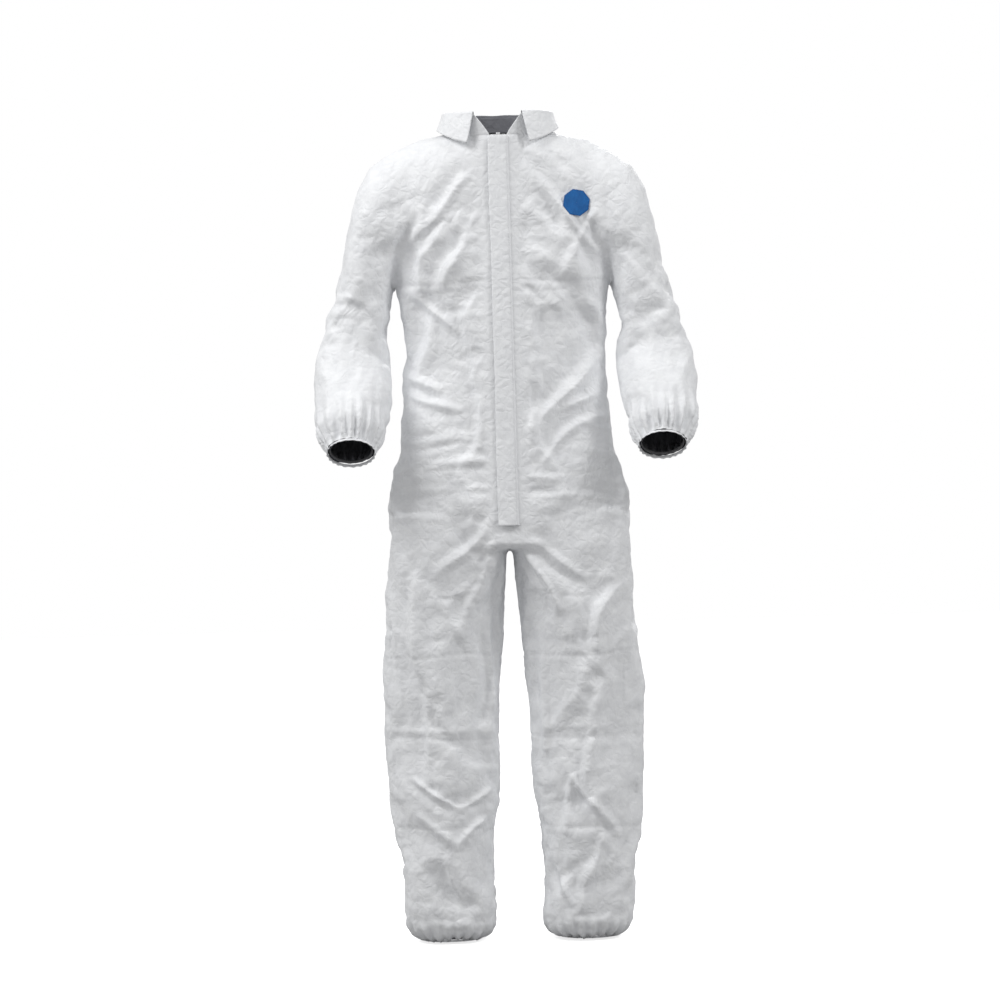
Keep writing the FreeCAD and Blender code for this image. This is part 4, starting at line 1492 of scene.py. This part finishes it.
def make_badge(skin):
    """Plain octagon on the left chest, with a stitched rim."""
    low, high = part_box("chest_badge")
    middle_x = (low[0] + high[0]) / 2.0
    middle_h = (low[2] + high[2]) / 2.0 + NECK
    reach = (high[2] - low[2]) / 2.0 / math.cos(math.pi / 8.0)
    corners = [math.pi / 4.0 * (k + 0.5) + BADGE_TURN for k in range(8)]
    outline = []
    for first, second in zip(corners, corners[1:] + corners[:1]):
        for part in range(BADGE_SIDE_STEPS):
            share = part / BADGE_SIDE_STEPS
            x = math.cos(first) * (1 - share) + math.cos(second) * share
            h = math.sin(first) * (1 - share) + math.sin(second) * share
            outline.append((x * reach, h * reach))
    rows = []
    for ring_step in range(BADGE_RINGS + 1):
        share = max(ring_step / BADGE_RINGS, 0.01)
        ring_points = [(middle_x + x * share, middle_h + h * share) for x, h in outline]
        rows.append(ring_points + ring_points[:1])
    badge = laid_on(skin, "chest_badge_cloth", rows, AHEAD, -0.0009)
    points, _ = coordinates(badge.data)
    terms = np.stack([np.ones(len(points)), points[:, 0], points[:, 2]], axis=1)
    slope, *_ = np.linalg.lstsq(terms, points[:, 1], rcond=None)
    eased = 0.4 * points[:, 1] + 0.6 * (terms @ slope)
    points[:, 1] = eased - max(0.0, float(np.percentile(eased - points[:, 1], 99)))
    place(badge.data, points)
    facing_front(badge)
    count = len(rows[0])
    edge = row_path(badge, BADGE_RINGS * count, count, 0.0001)
    finished(badge, BADGE)
    thickened(badge, 0.0005)
    attach(badge, "torso", "chest_badge")
    centre = sum(edge, Vector()) / len(edge)
    swing = zigzag(edge, lambda here: (here - centre).normalized(), 0.0009, 0.0006)
    rim = tube("chest_badge_rim", [swing], 0.00032, BADGE_THREAD, 5)
    attach(rim, "torso")


# --- the suit --------------------------------------------------------------------------------

skin = divide(opened(garment()))
buckled(skin)
creased(skin)
make_panels(skin)
make_seams(skin)
make_collar()
make_flap()
make_zipper()
make_cuffs()
make_waist_elastic(skin)
make_label(skin)
make_badge(skin)
bpy.data.objects.remove(skin)


# --- camera and light ----------------------------------------------------------------------


CAMERA_AIM = Vector((-0.016, -0.06, 0.850 - NECK))
CAMERA_DISTANCE = 6.0
CAMERA_ROLL = math.radians(1.63)
WHITE = (1.0, 1.0, 1.0, 1.0)
FLOOR_HALF = 15
FLOOR_HEIGHT = -0.004
SURROUND_STRENGTH = 0.51
FLOOR_GLOW = 0.75
# Lights: name, place, aim, size, power
LIGHTS = (
    ("key", (-2.2, -1.25, 1.9), (0.0, 0.0, -0.55), 1.9, 64.0),
    ("side", (2.6, -1.5, 1.7), (0.0, 0.0, -0.6), 0.8, 38.0),
    ("back", (0.8, 3.0, 1.5), (0.0, 0.0, -0.6), 1.2, 60.0),
)


def set_camera():
    """Level view of the front from far off, rolled a little as the suit hangs."""
    data = bpy.data.cameras.new("camera")
    data.lens = 112.0
    data.sensor_width = 36.0
    camera = linked("camera", data)
    camera.location = CAMERA_AIM + Vector((0.0, -CAMERA_DISTANCE, 0.0))
    camera.rotation_euler = (math.radians(90.0), CAMERA_ROLL, 0.0)
    bpy.context.scene.camera = camera


def area_light(name, place_at, aim, size, power):
    data = bpy.data.lights.new(name, "AREA")
    data.shape = "DISK"
    data.size = size
    data.energy = power
    light = linked(name, data)
    light.location = place_at
    direction = Vector(aim) - Vector(place_at)
    light.rotation_euler = direction.to_track_quat("-Z", "Y").to_euler()


def set_stage():
    """Pale floor and a soft surround, both white to the camera and dimmer as light."""
    world = bpy.data.worlds.new("surround")
    bpy.context.scene.world = world
    world.use_nodes = True
    nodes = world.node_tree.nodes
    links = world.node_tree.links
    lit = nodes["Background"]
    lit.inputs["Color"].default_value = WHITE
    lit.inputs["Strength"].default_value = SURROUND_STRENGTH
    seen = nodes.new("ShaderNodeBackground")
    seen.inputs["Color"].default_value = WHITE
    seen.inputs["Strength"].default_value = 1.0
    path = nodes.new("ShaderNodeLightPath")
    mix = nodes.new("ShaderNodeMixShader")
    links.new(path.outputs["Is Camera Ray"], mix.inputs["Fac"])
    links.new(lit.outputs["Background"], mix.inputs[1])
    links.new(seen.outputs["Background"], mix.inputs[2])
    links.new(mix.outputs["Shader"], nodes["World Output"].inputs["Surface"])
    corners = ((-1, -1), (1, -1), (1, 1), (-1, 1))
    points = [(x * FLOOR_HALF, y * FLOOR_HALF, FLOOR_HEIGHT) for x, y in corners]
    floor = new_object("floor", points, [(0, 1, 2, 3)])
    material, shader = new_material("floor_paint", (0.9, 0.9, 0.9), 0.9)
    shader.inputs["Emission Color"].default_value = WHITE
    shader.inputs["Emission Strength"].default_value = FLOOR_GLOW
    matte = add_node(material, "ShaderNodeBsdfDiffuse", Color=(0.4, 0.4, 0.4, 1.0))
    path = add_node(material, "ShaderNodeLightPath")
    mix = add_node(material, "ShaderNodeMixShader")
    wire(material, path, "Is Camera Ray", mix, 0)
    wire(material, matte, "BSDF", mix, 1)
    wire(material, shader, "BSDF", mix, 2)
    wire(material, mix, "Shader", material.node_tree.nodes["Material Output"], "Surface")
    floor.data.materials.append(material)
    for light in LIGHTS:
        area_light(*light)


bpy.context.scene.view_settings.view_transform = "Standard"
set_camera()
set_stage()
